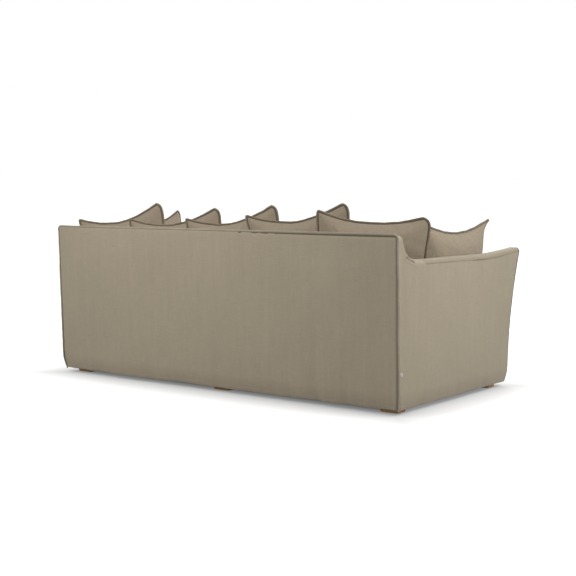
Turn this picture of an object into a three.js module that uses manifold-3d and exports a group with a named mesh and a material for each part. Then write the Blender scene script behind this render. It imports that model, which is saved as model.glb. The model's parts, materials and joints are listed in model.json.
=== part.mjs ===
// Loose-cover sofa with a straight back, flared arms, a bench seat cushion and seven loose flanged cushions.
// Millimetres. X runs along the length, -Y is the front, +Y the back and +Z is up.
// Left and right are those of someone who stands in front and faces the sofa.
import * as THREE from "three";
import { mergeVertices } from "three/addons/utils/BufferGeometryUtils.js";
import Module from "manifold-3d";

const wasm = await Module();
wasm.setup();

// Outer shape of the covered body
const hem_length = 2200;
const hem_depth = 1060;
const hem_clearance = 25;
const back_height = 794;
const back_rake = 24;
const arm_height = 678;
const arm_thickness = 75;
const arm_flare = 55;
const arm_front_rise = 27;
const arm_rise_run = 340;
const scoop_run = 115;
const back_edge = 18;
const edge_radius = 25;
const hem_draw_in = 12;
const hem_draw_height = 80;
const back_top_depth = 60;
const back_lean_deg = 5;

// Curves of the outline
const flare_power = 2.2;
const scoop_power = 3.4;
const rise_power = 1.5;

// Cloth, wadding and clearances
const cover_thickness = 3;
const gap = 0.3;
const frame_ease = 1.2;
const overrun = 5;
const side_padding = 25;
const flange_width = 10;
const flange_thickness = 4;
const flange_set_back = 1;

// Frame
const foot_length = 100;
const foot_depth = 70;
const foot_height = 38;
const foot_corner_radius = 8;
const foot_bevel = 2;
const foot_inset = 80;
const dust_cover_thickness = 1.5;
const rail_height = 170;
const rail_thickness = 25;
const beam_width = 50;
const block_size = 100;
const block_height = 45;
const front_post_depth = 60;
const rear_post_depth = 34;
const back_post_width = 60;
const back_rail_depth = 34;
const arm_rail_height = 60;
const top_rail_height = 90;
const lower_rail_height = 70;
const upright_width = 60;
const bolt_radius = 4;
const bolt_grip = 22;
const bolt_reach = 34;
const hole_clearance = 0.3;

// Webbing and deck
const webbing_thickness = 2;
const webbing_width = 50;
const seat_strap_count = 11;
const seat_cross_strap_count = 3;
const back_strap_count = 9;
const back_cross_strap_count = 2;

// Seat cushion
const seat_edge_thickness = 135;
const seat_crown = 22;
const seat_clearance = 3;
const seat_overhang = 4;
const seat_band_swell = 6;
const seat_corner_draw_in = 3;
const seat_side_draw_in = 7;
const seat_crown_power = 3;

// Loose cushions
const cushion_width = 527;
const arm_cushion_width = 610;
const cushion_height = 520;
const cushion_thickness = 132;
const cushion_flange = 14;
const cushion_flange_thickness = 4;
const cushion_draw_in = 17;
const cushion_sag = 36;
const cushion_clearance = 4;
const cushion_power = 2.6;
const cushion_fullness = 0.85;
const cushion_sag_power = 1.5;
const slump_power = 2;
const arm_cushion_lean_deg = 5;

// Blank woven tab in the rear corner seam
const tab_width = 9;
const tab_height = 19;
const tab_thickness = 1;
const tab_level = 156;

// Levels above the floor
const hem_level = hem_clearance;
const top_level = hem_level + back_height;
const arm_level = hem_level + arm_height;
const dust_level = foot_height + gap;
const rail_level = dust_level + dust_cover_thickness + gap;
const webbing_level = rail_level + rail_height + gap;
const deck_level = webbing_level + webbing_thickness + gap;
const seat_level = deck_level + cover_thickness + gap;
const skin = cover_thickness + gap;
const timber_inset = cover_thickness + frame_ease;
const arm_timber = arm_thickness - timber_inset - frame_ease - side_padding - skin;
const back_lean = THREE.MathUtils.degToRad(back_lean_deg);
const arm_cushion_lean = THREE.MathUtils.degToRad(arm_cushion_lean_deg);

const clamp = THREE.MathUtils.clamp;
const lerp = THREE.MathUtils.lerp;
const rad = THREE.MathUtils.degToRad;
const X = new THREE.Vector3(1, 0, 0);
const Y = new THREE.Vector3(0, 1, 0);
const Z = new THREE.Vector3(0, 0, 1);

// How far a panel stands out from its hem: nothing at the hem, the whole draw-in from its height on.
function drawOut(z) {
  const share = clamp((z - hem_level) / hem_draw_height, 0, 1);
  return hem_draw_in * (1 - (1 - share) ** 2);
}

// Outer face of the back: straight above the hem, leaning back by the rake.
function rearReach(z) {
  return hem_depth / 2 + drawOut(z) + (back_rake * (z - hem_level)) / back_height;
}

// Outer face of the front, as a distance in front of the middle.
function frontReach(z) {
  return hem_depth / 2 + drawOut(z);
}

// Outer face of an arm: straight up at the rear, flared outwards towards the front and the top.
function sideReach(y, z) {
  const flare_run = hem_depth + 2 * hem_draw_in + back_rake;
  const forward = (hem_depth / 2 + hem_draw_in + back_rake - y) / flare_run;
  const height = Math.max(0, z - hem_level) / arm_height;
  return hem_length / 2 + drawOut(z) + arm_flare * forward * height ** flare_power;
}

// Inner face of the back: a plane that leans back.
function insideFace(z) {
  return rearReach(top_level) - back_top_depth - (top_level - z) * Math.tan(back_lean);
}

// Where the level part of an arm's top ends and the scoop up to the back begins.
function scoopStart() {
  return rearReach(top_level) - back_edge - scoop_run;
}

// Top line of an arm: level, rising a little at the front and swept up to the back's top behind.
function armTop(y) {
  const swept = clamp((y - scoopStart()) / scoop_run, 0, 1);
  const rise_start = arm_rise_run - frontReach(arm_level);
  const risen = clamp((rise_start - y) / arm_rise_run, 0, 1);
  const sweep = (top_level - arm_level) * swept ** scoop_power;
  return arm_level + sweep + arm_front_rise * risen ** rise_power;
}

// Solid between two sheets of points. Each sheet is a function of two shares, us and vs list the shares,
// and rings of points between the two rims swell outwards by swell.
function slab(front, back, us, vs, rings = 0, swell = 0) {
  const points = [];
  const faces = [];
  const columns = us.length;
  const rows = vs.length;
  [front, back].forEach((sheet) => {
    vs.forEach((v) => us.forEach((u) => points.push(sheet(u, v))));
  });
  const at = (side, i, j) => side * columns * rows + j * columns + i;
  for (let j = 0; j < rows - 1; j++) {
    for (let i = 0; i < columns - 1; i++) {
      const corners = [at(0, i, j), at(0, i + 1, j), at(0, i + 1, j + 1), at(0, i, j + 1)];
      const [a, b, c, d] = corners;
      const [e, f, g, h] = corners.map((n) => n + columns * rows);
      faces.push([a, b, c], [a, c, d], [e, g, f], [e, h, g]);
    }
  }
  const rim = [];
  for (let i = 0; i < columns - 1; i++) rim.push([i, 0]);
  for (let j = 0; j < rows - 1; j++) rim.push([columns - 1, j]);
  for (let i = columns - 1; i > 0; i--) rim.push([i, rows - 1]);
  for (let j = rows - 1; j > 0; j--) rim.push([0, j]);
  const middle = points.reduce((sum, p) => sum.add(p), new THREE.Vector3()).divideScalar(points.length);
  let upper = rim.map(([i, j]) => at(0, i, j));
  const lower = rim.map(([i, j]) => at(1, i, j));
  for (let ring = 1; ring <= rings + 1; ring++) {
    const share = ring / (rings + 1);
    const next = ring > rings ? lower : rim.map(([i, j]) => {
      const a = points[at(0, i, j)];
      const b = points[at(1, i, j)];
      const p = a.clone().lerp(b, share);
      const out = p.clone().sub(middle).projectOnPlane(a.clone().sub(b).normalize()).normalize();
      points.push(p.addScaledVector(out, swell * Math.sin(Math.PI * share)));
      return points.length - 1;
    });
    for (let k = 0; k < rim.length; k++) {
      const m = (k + 1) % rim.length;
      faces.push([upper[k], next[k], next[m]], [upper[k], next[m], upper[m]]);
    }
    upper = next;
  }
  return closed(points, faces);
}

// Geometry of points and triangles, turned so that its faces point outwards.
function closed(points, faces) {
  const volume = faces.reduce((sum, [a, b, c]) => {
    return sum + points[a].dot(new THREE.Vector3().crossVectors(points[b], points[c]));
  }, 0);
  const index = faces.flatMap(([a, b, c]) => (volume < 0 ? [a, c, b] : [a, b, c]));
  const geometry = new THREE.BufferGeometry().setFromPoints(points);
  geometry.setIndex(index);
  geometry.computeVertexNormals();
  return geometry;
}

// Box between two corners.
function box(x0, x1, y0, y1, z0, z1) {
  const geometry = new THREE.BoxGeometry(x1 - x0, y1 - y0, z1 - z0);
  return geometry.translate((x0 + x1) / 2, (y0 + y1) / 2, (z0 + z1) / 2);
}

// Upright cylinder between two levels.
const rod_sides = 12;

function rod(x, y, z0, z1, radius) {
  const geometry = new THREE.CylinderGeometry(radius, radius, z1 - z0, rod_sides);
  return geometry.rotateX(Math.PI / 2).translate(x, y, (z0 + z1) / 2);
}

function solid(geometry) {
  const bare = geometry.clone();
  bare.deleteAttribute("normal");
  bare.deleteAttribute("uv");
  const merged = mergeVertices(bare);
  return new wasm.Manifold(new wasm.Mesh({
    numProp: 3,
    vertProperties: merged.attributes.position.array,
    triVerts: new Uint32Array(merged.index.array),
  }));
}

function fromSolid(made) {
  const mesh = made.getMesh();
  const geometry = new THREE.BufferGeometry();
  geometry.setAttribute("position", new THREE.BufferAttribute(mesh.vertProperties, 3));
  geometry.setIndex(new THREE.BufferAttribute(mesh.triVerts, 1));
  geometry.computeVertexNormals();
  return geometry;
}

function cut(geometry, ...tools) {
  return fromSolid(tools.reduce((body, tool) => body.subtract(solid(tool)), solid(geometry)));
}

function join(...pieces) {
  return fromSolid(pieces.map(solid).reduce((body, piece) => body.add(piece)));
}

// Evenly spaced shares from 0 to 1.
function steps(count) {
  return Array.from({ length: count + 1 }, (_, i) => i / count);
}

const materials = {
  linen: new THREE.MeshStandardMaterial({ color: 0x9c8f7b, roughness: 0.95, metalness: 0 }),
  timber: new THREE.MeshStandardMaterial({ color: 0xc9a878, roughness: 0.75, metalness: 0 }),
  foot_wood: new THREE.MeshStandardMaterial({ color: 0xc69a63, roughness: 0.55, metalness: 0 }),
  webbing: new THREE.MeshStandardMaterial({ color: 0x2f2d2a, roughness: 0.9, metalness: 0 }),
  wadding: new THREE.MeshStandardMaterial({ color: 0xe9e4d8, roughness: 1, metalness: 0 }),
  dust_cloth: new THREE.MeshStandardMaterial({ color: 0x1f1f20, roughness: 0.95, metalness: 0 }),
  steel: new THREE.MeshStandardMaterial({ color: 0xa8abae, roughness: 0.35, metalness: 1 }),
  tab: new THREE.MeshStandardMaterial({ color: 0xe8e2d6, roughness: 0.9, metalness: 0 }),
};

const sofa = new THREE.Group();

function place(name, geometry, material) {
  const mesh = new THREE.Mesh(geometry, materials[material]);
  mesh.name = name;
  sofa.add(mesh);
  return mesh;
}

// Both sides of the sofa: the left one is at -X.
const sides = [["left", -1], ["right", 1]];

// Base frame. Its boxes clear the covers where these are drawn in most, at the dust cloth's level.
const rail_rear_y = rearReach(dust_level) - timber_inset;
const rail_front_y = -(frontReach(dust_level) - timber_inset);
const rail_side_x = sideReach(hem_depth / 2, dust_level) - timber_inset;
const post_inner_x = rail_side_x - arm_timber;
const deck_half = post_inner_x - gap;
const rail_top = rail_level + rail_height;
const front_post_back_y = rail_front_y + front_post_depth;
const rear_post_front_y = rail_rear_y - rear_post_depth;

const front_rail_back_y = rail_front_y + rail_thickness;
const rear_rail_front_y = rail_rear_y - rail_thickness;
const front_rail = box(-deck_half, deck_half, rail_front_y, front_rail_back_y, rail_level, rail_top);
const rear_rail = box(-deck_half, deck_half, rear_rail_front_y, rail_rear_y, rail_level, rail_top);
place("front_rail", front_rail, "timber");
place("rear_rail", rear_rail, "timber");

const beam_front_y = front_rail_back_y + gap;
const beam_rear_y = rear_rail_front_y - gap;
const foot_x = hem_length / 2 - foot_inset;
const foot_y = hem_depth / 2 - foot_inset - hem_draw_in;
const feet = [];
sides.forEach(([side, sign]) => {
  feet.push([`front_${side}`, sign * foot_x, -foot_y], [`rear_${side}`, sign * foot_x, foot_y]);
});
feet.push(["front_middle", 0, -foot_y], ["rear_middle", 0, foot_y]);

const bolt_bottom = foot_height - bolt_grip;
const bolt_top = rail_level + bolt_reach;

// Hole that clears one foot's bolt.
function boltHole(x, y, z0, z1) {
  return rod(x, y, z0, z1, bolt_radius + hole_clearance);
}

sides.forEach(([side, sign]) => {
  const x0 = Math.min(sign * rail_side_x, sign * (rail_side_x - rail_thickness));
  const y0 = front_post_back_y + gap;
  const y1 = rear_post_front_y - gap;
  place(`side_rail_${side}`, box(x0, x0 + rail_thickness, y0, y1, rail_level, rail_top), "timber");

  [["front", -1], ["rear", 1]].forEach(([end, back]) => {
    const y_out = back > 0 ? beam_rear_y : beam_front_y;
    const by0 = Math.min(y_out, y_out - back * block_size);
    const bx0 = Math.min(sign * deck_half, sign * (deck_half - block_size));
    const block = box(bx0, bx0 + block_size, by0, by0 + block_size, rail_level, rail_level + block_height);
    const hole = boltHole(sign * foot_x, back * foot_y, rail_level - overrun, bolt_top + gap);
    place(`corner_block_${end}_${side}`, cut(block, hole), "timber");
  });
});

const beam = box(-beam_width / 2, beam_width / 2, beam_front_y, beam_rear_y, rail_level, rail_top);
const beam_holes = [-foot_y, foot_y].map((y) => boltHole(0, y, rail_level - overrun, bolt_top + gap));
place("centre_beam", cut(beam, ...beam_holes), "timber");

// Dust cloth under the frame, with a hole for each foot's bolt
const dust_top = dust_level + dust_cover_thickness;
const dust_sheet = box(-rail_side_x, rail_side_x, rail_front_y, rail_rear_y, dust_level, dust_top);
const dust_holes = feet.map(([, x, y]) => boltHole(x, y, dust_level - overrun, rail_level));
place("dust_cover", cut(dust_sheet, ...dust_holes), "dust_cloth");

// Outline of a foot: a rectangle with rounded corners.
function footOutline() {
  const x = foot_length / 2 - foot_bevel;
  const y = foot_depth / 2 - foot_bevel;
  const r = foot_corner_radius;
  const outline = new THREE.Shape();
  outline.moveTo(-x + r, -y);
  outline.lineTo(x - r, -y);
  outline.quadraticCurveTo(x, -y, x, -y + r);
  outline.lineTo(x, y - r);
  outline.quadraticCurveTo(x, y, x - r, y);
  outline.lineTo(-x + r, y);
  outline.quadraticCurveTo(-x, y, -x, y - r);
  outline.lineTo(-x, -y + r);
  outline.quadraticCurveTo(-x, -y, -x + r, -y);
  return outline;
}

feet.forEach(([name, x, y]) => {
  const body = new THREE.ExtrudeGeometry(footOutline(), {
    depth: foot_height - 2 * foot_bevel,
    bevelEnabled: true,
    bevelSize: foot_bevel,
    bevelThickness: foot_bevel,
    bevelSegments: 1,
    curveSegments: 3,
  });
  body.translate(x, y, foot_bevel);
  const hole = boltHole(x, y, bolt_bottom - gap, foot_height + overrun);
  place(`foot_${name}`, cut(body, hole), "foot_wood");
  place(`foot_bolt_${name}`, rod(x, y, bolt_bottom, bolt_top, bolt_radius), "steel");
});

// Levels of an upright panel's rows: close together where the hem is drawn in, then spread up to its top.
const hem_row_shares = [0, 0.3, 0.6, 1];
const panel_row_shares = [0.22, 0.42, 0.6, 0.76, 0.9, 1];
const panel_rows = Array.from({ length: hem_row_shares.length + panel_row_shares.length }, (_, row) => row);

function panelLevel(row, top) {
  const straight = hem_level + hem_draw_height;
  const above = row - hem_row_shares.length;
  if (above < 0) return hem_level + hem_draw_height * hem_row_shares[row];
  return lerp(straight, top, panel_row_shares[above]);
}

// Layer of an arm between two depths in from its outer face. y and z are functions of the two shares.
function armLayer(sign, depth_out, depth_in, y, z, us, vs) {
  const sheet = (depth) => (u, v) => {
    const level = z(u, v);
    const along = y(u, level);
    return new THREE.Vector3(sign * (sideReach(along, level) - depth), along, level);
  };
  return slab(sheet(depth_out), sheet(depth_in), us, vs);
}

// Arm frames: a front post, a rear post and a top rail each
sides.forEach(([side, sign]) => {
  const inner = timber_inset + arm_timber;
  const underside = (y) => armTop(y) - edge_radius;
  const postLevel = (row, top) => (row === 0 ? rail_level : panelLevel(row, top));

  const frontY = (u, z) => lerp(-(frontReach(z) - timber_inset), front_post_back_y, u);
  const frontZ = (u, row) => postLevel(row, underside(frontY(u, arm_level)) - frame_ease);
  const front_post = armLayer(sign, timber_inset, inner, frontY, frontZ, steps(2), panel_rows);
  place(`arm_front_post_${side}`, front_post, "timber");

  const rearFace = (z) => rearReach(z) - timber_inset - rear_post_depth;
  const rearY = (u, z) => rearFace(z) + rear_post_depth * u;
  const rear_top = underside(rearFace(arm_level)) - frame_ease;
  const rearZ = (u, row) => postLevel(row, rear_top);
  const rear_post = armLayer(sign, timber_inset, inner, rearY, rearZ, steps(1), panel_rows);
  place(`arm_rear_post_${side}`, rear_post, "timber");

  const rail_shares = [0, 0.1, 0.2, 0.3, 0.4, 0.55, 0.7, 0.85, 1];
  const railY = (u, z) => lerp(front_post_back_y + gap, rearFace(z) - gap, u);
  const railTop = (u) => underside(Math.min(railY(u, arm_level), scoopStart())) - frame_ease;
  const railZ = (u, v) => railTop(u) - arm_rail_height * (1 - v);
  const arm_rail = armLayer(sign, timber_inset, inner, railY, railZ, rail_shares, steps(2));
  place(`arm_rail_${side}`, arm_rail, "timber");
});

// Back frame, between the arms. Its pieces are sections in Y and Z, carried along X.
function alongX(x0, x1, corners) {
  const outline = new THREE.Shape(corners.map(([y, z]) => new THREE.Vector2(y, z)));
  const body = new THREE.ExtrudeGeometry(outline, { depth: x1 - x0, bevelEnabled: false });
  const turn = new THREE.Matrix4().makeBasis(Y, Z, X);
  return body.applyMatrix4(turn).translate(x0, 0, 0);
}

const back_half = sideReach(rearReach(top_level), top_level) - arm_thickness - gap;
const frame_half = back_half - skin - gap;
const post_in = frame_half - back_post_width;
const top_rail_top = top_level - edge_radius;
const top_rail_bottom = top_rail_top - top_rail_height;
const lower_rail_bottom = seat_level;
const lower_rail_top = lower_rail_bottom + lower_rail_height;
const backFrameRear = (z) => rearReach(z) - timber_inset;
const backFrameFront = (z) => backFrameRear(z) - back_rail_depth;
const post_foot = rail_top + gap;
const post_foot_y = rail_rear_y - rail_thickness;

sides.forEach(([side, sign]) => {
  const corners = [
    [post_foot_y, post_foot],
    [backFrameRear(post_foot), post_foot],
    [backFrameRear(top_rail_top), top_rail_top],
    [backFrameFront(top_rail_top), top_rail_top],
  ];
  const x0 = Math.min(sign * frame_half, sign * post_in);
  place(`back_post_${side}`, alongX(x0, x0 + back_post_width, corners), "timber");
});

function backRail(half, z0, z1) {
  const corners = [
    [backFrameFront(z0), z0],
    [backFrameRear(z0), z0],
    [backFrameRear(z1), z1],
    [backFrameFront(z1), z1],
  ];
  return alongX(-half, half, corners);
}

place("back_lower_rail", backRail(post_in - gap, lower_rail_bottom, lower_rail_top), "timber");
place("back_top_rail", backRail(post_in - gap, top_rail_bottom, top_rail_top), "timber");
place("back_upright", backRail(upright_width / 2, lower_rail_top + gap, top_rail_bottom - gap), "timber");

// Webbing: straps both ways, stitched where they cross. The cross straps may be longer than the rest is wide.
function straps(half, cross_half, y0, y1, count, cross_count) {
  const pieces = [];
  for (let i = 0; i < count; i++) {
    const x = lerp(-half, half - webbing_width, i / (count - 1));
    pieces.push(box(x, x + webbing_width, y0, y1, 0, webbing_thickness));
  }
  for (let j = 1; j <= cross_count; j++) {
    const y = lerp(y0, y1, j / (cross_count + 1)) - webbing_width / 2;
    pieces.push(box(-cross_half, cross_half, y, y + webbing_width, 0, webbing_thickness));
  }
  return join(...pieces);
}

const strap_half = post_in - gap;
const seat_counts = [seat_strap_count, seat_cross_strap_count];
const seat_webbing = straps(strap_half, rail_side_x, rail_front_y, rail_rear_y, ...seat_counts);
place("seat_webbing", seat_webbing.translate(0, 0, webbing_level), "webbing");

const tacking_share = 1 / 3;
const back_web_bottom = lower_rail_bottom + lower_rail_height * tacking_share;
const back_web_height = top_rail_top - top_rail_height * tacking_share - back_web_bottom;
const back_counts = [back_strap_count, back_cross_strap_count];
const back_webbing = straps(strap_half, strap_half, 0, back_web_height, ...back_counts);
const up_the_back = new THREE.Vector3(0, back_rake / back_height, 1);
const stand = new THREE.Matrix4().makeBasis(X, up_the_back, new THREE.Vector3(0, -1, 0));
stand.setPosition(0, backFrameFront(back_web_bottom) - gap, back_web_bottom);
back_webbing.applyMatrix4(stand).computeVertexNormals();
place("back_webbing", back_webbing, "webbing");

// Deck cover over the seat webbing, up to the back posts' feet
const deck_rear_y = post_foot_y - gap;
const deck_top = deck_level + cover_thickness;
place("deck_cover", box(-deck_half, deck_half, rail_front_y, deck_rear_y, deck_level, deck_top), "linen");

// Section of a padded arm from its outer top edge over to its inner face and down. depth is how far the
// line lies inside the visible surface. It gives offsets in from the outer face and down from the top line.
function armSection(depth) {
  const r = edge_radius;
  const points = [];
  const arc = 4;
  for (let i = 0; i <= arc; i++) {
    const a = (Math.PI / 2) * (i / arc);
    points.push([r - (r - depth) * Math.cos(a), r - (r - depth) * Math.sin(a)]);
  }
  for (let i = 0; i <= arc; i++) {
    const a = (Math.PI / 2) * (1 - i / arc);
    points.push([arm_thickness - r + (r - depth) * Math.cos(a), r - (r - depth) * Math.sin(a)]);
  }
  return points;
}

// Sheet that follows an arm's section and runs on down its inner face in a few rows to the level foot.
const rows_below_arm_top = 5;

function armSheet(sign, section, foot, y_inset) {
  return (u, row) => {
    const below = Math.max(0, row - section.length + 1) / rows_below_arm_top;
    const [depth, drop] = section[Math.min(row, section.length - 1)];
    const top_y = lerp(rearReach(top_level), -frontReach(arm_level), u);
    const z = lerp(armTop(top_y) - drop, foot, below);
    const y = lerp(rearReach(z) - y_inset, -(frontReach(z) - y_inset), u);
    return new THREE.Vector3(sign * (sideReach(y, z) - depth), y, z);
  };
}

const arm_shares = [0, 0.018, 0.036, 0.054, 0.072, 0.09, 0.11, 0.14, 0.25, 0.4, 0.55, 0.68, 0.78, 0.88, 1];
const section_rows = Array.from({ length: armSection(0).length + rows_below_arm_top }, (_, row) => row);

// Inner edge of an arm's wadding: level over the timber, then down beside it.
function waddingSection() {
  const shoulder = timber_inset + arm_timber + frame_ease;
  const corner_row = 7;
  const last_row = armSection(0).length - 1;
  return section_rows.slice(0, last_row + 1).map((row) => {
    const across = clamp(row / corner_row, 0, 1);
    const down = clamp((row - corner_row) / (last_row - corner_row), 0, 1);
    return [lerp(skin + flange_thickness, shoulder, across), edge_radius * (1 + down)];
  });
}

sides.forEach(([side, sign]) => {
  const foot = deck_top + gap;
  const face = armSheet(sign, armSection(0), foot, skin);
  const lining = armSheet(sign, armSection(cover_thickness), foot, skin);
  place(`inner_arm_cover_${side}`, slab(face, lining, arm_shares, section_rows), "linen");

  const pad_face = armSheet(sign, armSection(skin), foot, skin);
  const pad_back = armSheet(sign, waddingSection(), foot, skin);
  place(`arm_wadding_${side}`, slab(pad_face, pad_back, arm_shares, section_rows), "wadding");

  const outer = (depth) => (u, row) => {
    const top_y = lerp(rearReach(top_level), -frontReach(arm_level), u);
    const z = panelLevel(row, armTop(top_y) - edge_radius - gap);
    const y = lerp(rearReach(z) - skin, -(frontReach(z) - skin), u);
    return new THREE.Vector3(sign * (sideReach(y, z) - depth), y, z);
  };
  place(`outer_arm_cover_${side}`, slab(outer(0), outer(cover_thickness), arm_shares, panel_rows), "linen");

  // Front of the arm: its top follows the rounded section.
  const front = (depth) => (u, row) => {
    const across = arm_thickness * u;
    const in_corner = Math.max(0, edge_radius - Math.min(across, arm_thickness - across));
    const drop = edge_radius - Math.sqrt(edge_radius ** 2 - in_corner ** 2);
    const z = panelLevel(row, armTop(-frontReach(arm_level)) - drop);
    const y = -(frontReach(z) - depth);
    return new THREE.Vector3(sign * (sideReach(y, z) - across), y, z);
  };
  const arm_front_shares = [0, 0.03, 0.1, 0.2, 0.34, 0.66, 0.8, 0.9, 0.97, 1];
  const arm_front_cover = slab(front(0), front(cover_thickness), arm_front_shares, panel_rows);
  place(`arm_front_cover_${side}`, arm_front_cover, "linen");
});

// Front cover between the arms, from the hem to the deck
const front_cover = (depth) => (u, row) => {
  const z = panelLevel(row, deck_top);
  const y = -(frontReach(z) - depth);
  const half = sideReach(y, z) - arm_thickness - gap;
  return new THREE.Vector3(lerp(-half, half, u), y, z);
};
place("front_cover", slab(front_cover(0), front_cover(cover_thickness), steps(1), panel_rows), "linen");

// Section of the back at a depth inside its visible face: up the rear, over the top and down the front.
function backSection(depth, rear_inset, foot) {
  const r = edge_radius;
  const y_front = insideFace(top_level - r);
  const points = [
    [rearReach(foot) - rear_inset, foot],
    [rearReach(top_level) - rear_inset, top_level - depth],
  ];
  const arc = 4;
  for (let i = 0; i <= arc; i++) {
    const a = (Math.PI / 2) * (1 - i / arc);
    points.push([y_front + r - (r - depth) * Math.cos(a), top_level - r + (r - depth) * Math.sin(a)]);
  }
  points.push([insideFace(foot) + depth, foot]);
  return points.reverse();
}

// Inner back cover: the front, the top and both ends, open behind and below
const cover_foot = deck_top + gap;
const back_outside = alongX(-back_half, back_half, backSection(0, skin, cover_foot));
const lining_half = back_half - cover_thickness;
const lining_section = backSection(cover_thickness, -overrun, cover_foot - overrun);
const back_inside = alongX(-lining_half, lining_half, lining_section);
place("inner_back_cover", cut(back_outside, back_inside), "linen");

// Back wadding: over the top rail and down in front of the posts and the webbing
const back_pad = alongX(-frame_half, frame_half, backSection(skin, skin + gap, cover_foot));
const pad_clearance = webbing_thickness + 2 * gap;
const frame_space = alongX(-back_half, back_half, [
  [post_foot_y - gap, cover_foot - overrun],
  [rearReach(cover_foot) + overrun, cover_foot - overrun],
  [rearReach(top_level) + overrun, top_rail_top + gap],
  [backFrameFront(top_rail_top) - pad_clearance, top_rail_top + gap],
]);
place("back_wadding", cut(back_pad, frame_space), "wadding");

// Outer back panel, with rounded top corners
const outerBack = (depth) => (u, row) => {
  const share = 2 * u - 1;
  const half = sideReach(rearReach(top_level), top_level);
  const in_corner = clamp((Math.abs(share) * half - half + edge_radius) / edge_radius, 0, 1);
  const drop = edge_radius * (1 - Math.sqrt(1 - in_corner ** 2));
  const z = panelLevel(row, top_level - drop);
  return new THREE.Vector3(share * sideReach(rearReach(z), z), rearReach(z) - depth, z);
};
const corner_share = edge_radius / hem_length;
const end_shares = [0, 0.1, 0.3, 0.6, 1].map((share) => share * corner_share);
const far_end_shares = end_shares.map((share) => 1 - share).reverse();
const back_shares = [...end_shares, 0.25, 0.5, 0.75, ...far_end_shares];
place("outer_back_cover", slab(outerBack(0), outerBack(cover_thickness), back_shares, panel_rows), "linen");

// Flange seams: two layers of cloth that stand out from the rear corners and the top
sides.forEach(([side, sign]) => {
  const sheet = (depth) => (u, row) => {
    const z = panelLevel(row, top_level - edge_radius - gap);
    const x = sideReach(rearReach(z) - flange_set_back - flange_thickness, z) + gap + flange_width * u;
    return new THREE.Vector3(sign * x, rearReach(z) - flange_set_back - depth, z);
  };
  place(`rear_corner_flange_${side}`, slab(sheet(0), sheet(flange_thickness), steps(1), panel_rows), "linen");
});

const corner_steps = 5;
const topFlange = (depth) => (u, v) => {
  const count = 2 * corner_steps + 1;
  const step = Math.round(u * count);
  const right = step > corner_steps;
  const a = (Math.PI / 2) * ((right ? step - corner_steps - 1 : corner_steps - step) / corner_steps);
  const seam_radius = (edge_radius + gap) / Math.cos(Math.PI / 4 / corner_steps);
  const radius = seam_radius + flange_width * v;
  const straight = sideReach(rearReach(top_level), top_level) - edge_radius;
  const x = (right ? 1 : -1) * (straight + radius * Math.sin(a));
  const z = top_level - edge_radius + radius * Math.cos(a);
  return new THREE.Vector3(x, rearReach(z) - flange_set_back - depth, z);
};
const flange_shares = steps(2 * corner_steps + 1);
place("back_top_flange", slab(topFlange(0), topFlange(flange_thickness), flange_shares, steps(1)), "linen");

// Blank tab caught in the left rear corner's seam, lying on the arm's outer cover
const tab_y = (u, z) => rearReach(z) - skin - flange_thickness - tab_width * u;
const tab_z = (u, v) => hem_level + tab_level + tab_height * v;
place("seam_tab", armLayer(-1, -gap - tab_thickness, -gap, tab_y, tab_z, steps(1), steps(1)), "tab");

// Seat cushion: one bench cushion, crowned on top, flat below, its sides drawn in between the corners
const seat_rear_y = insideFace(seat_level) - seat_clearance;
const seat_front_y = -(frontReach(seat_level) + seat_overhang);
const seat_half = back_half - seat_clearance - seat_band_swell;
const seat_depth = seat_rear_y - seat_front_y - 2 * seat_band_swell;
const seat_middle_y = (seat_rear_y + seat_front_y) / 2;

// Height of the seat cushion's top at a point, crowned towards the middle
function seatTop(x, y) {
  const across = clamp(Math.abs(x) / seat_half, 0, 1);
  const along = clamp(Math.abs(y - seat_middle_y) / (seat_depth / 2), 0, 1);
  const crown = seat_crown * (1 - across ** (2 * seat_crown_power)) * (1 - along ** seat_crown_power);
  return seat_level + seat_edge_thickness + crown;
}

function seatSheet(top) {
  return (u, v) => {
    const a = 2 * u - 1;
    const b = 2 * v - 1;
    const x = a * (seat_half - seat_side_draw_in * (1 - b * b) * Math.abs(a));
    const y = seat_middle_y + b * (seat_depth / 2 - seat_corner_draw_in * a ** 6 * Math.abs(b));
    return new THREE.Vector3(x, y, top ? seatTop(x, y) : seat_level);
  };
}

// Shares along half the seat, from the middle to an edge, closer together where the crown falls off.
const seat_column_shares = [0, 0.14, 0.28, 0.42, 0.54, 0.64, 0.73, 0.81, 0.88, 0.94, 1];
const seat_row_shares = [0, 0.22, 0.42, 0.58, 0.71, 0.82, 0.91, 1];

// Shares from one edge to the other, from shares that run from the middle to an edge
function bothWays(shares) {
  const first_half = shares.slice(1).reverse().map((share) => (1 - share) / 2);
  return [...first_half, ...shares.map((share) => (1 + share) / 2)];
}

const across_shares = bothWays(seat_column_shares);
const along_shares = bothWays(seat_row_shares);
const band_rings = 3;
const seat_faces = [seatSheet(true), seatSheet(false)];
const seat_cushion = slab(...seat_faces, across_shares, along_shares, band_rings, seat_band_swell);
place("seat_cushion", seat_cushion, "linen");

// Shares across a loose cushion and up it, with one step over each flange
const flange_share = cushion_flange / cushion_width;
const inside_shares = [0, 0.07, 0.17, 0.32, 0.5, 0.68, 0.83, 0.93, 1];
const cushion_shares = [0, ...inside_shares.map((share) => lerp(flange_share, 1 - flange_share, share)), 1];

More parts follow.
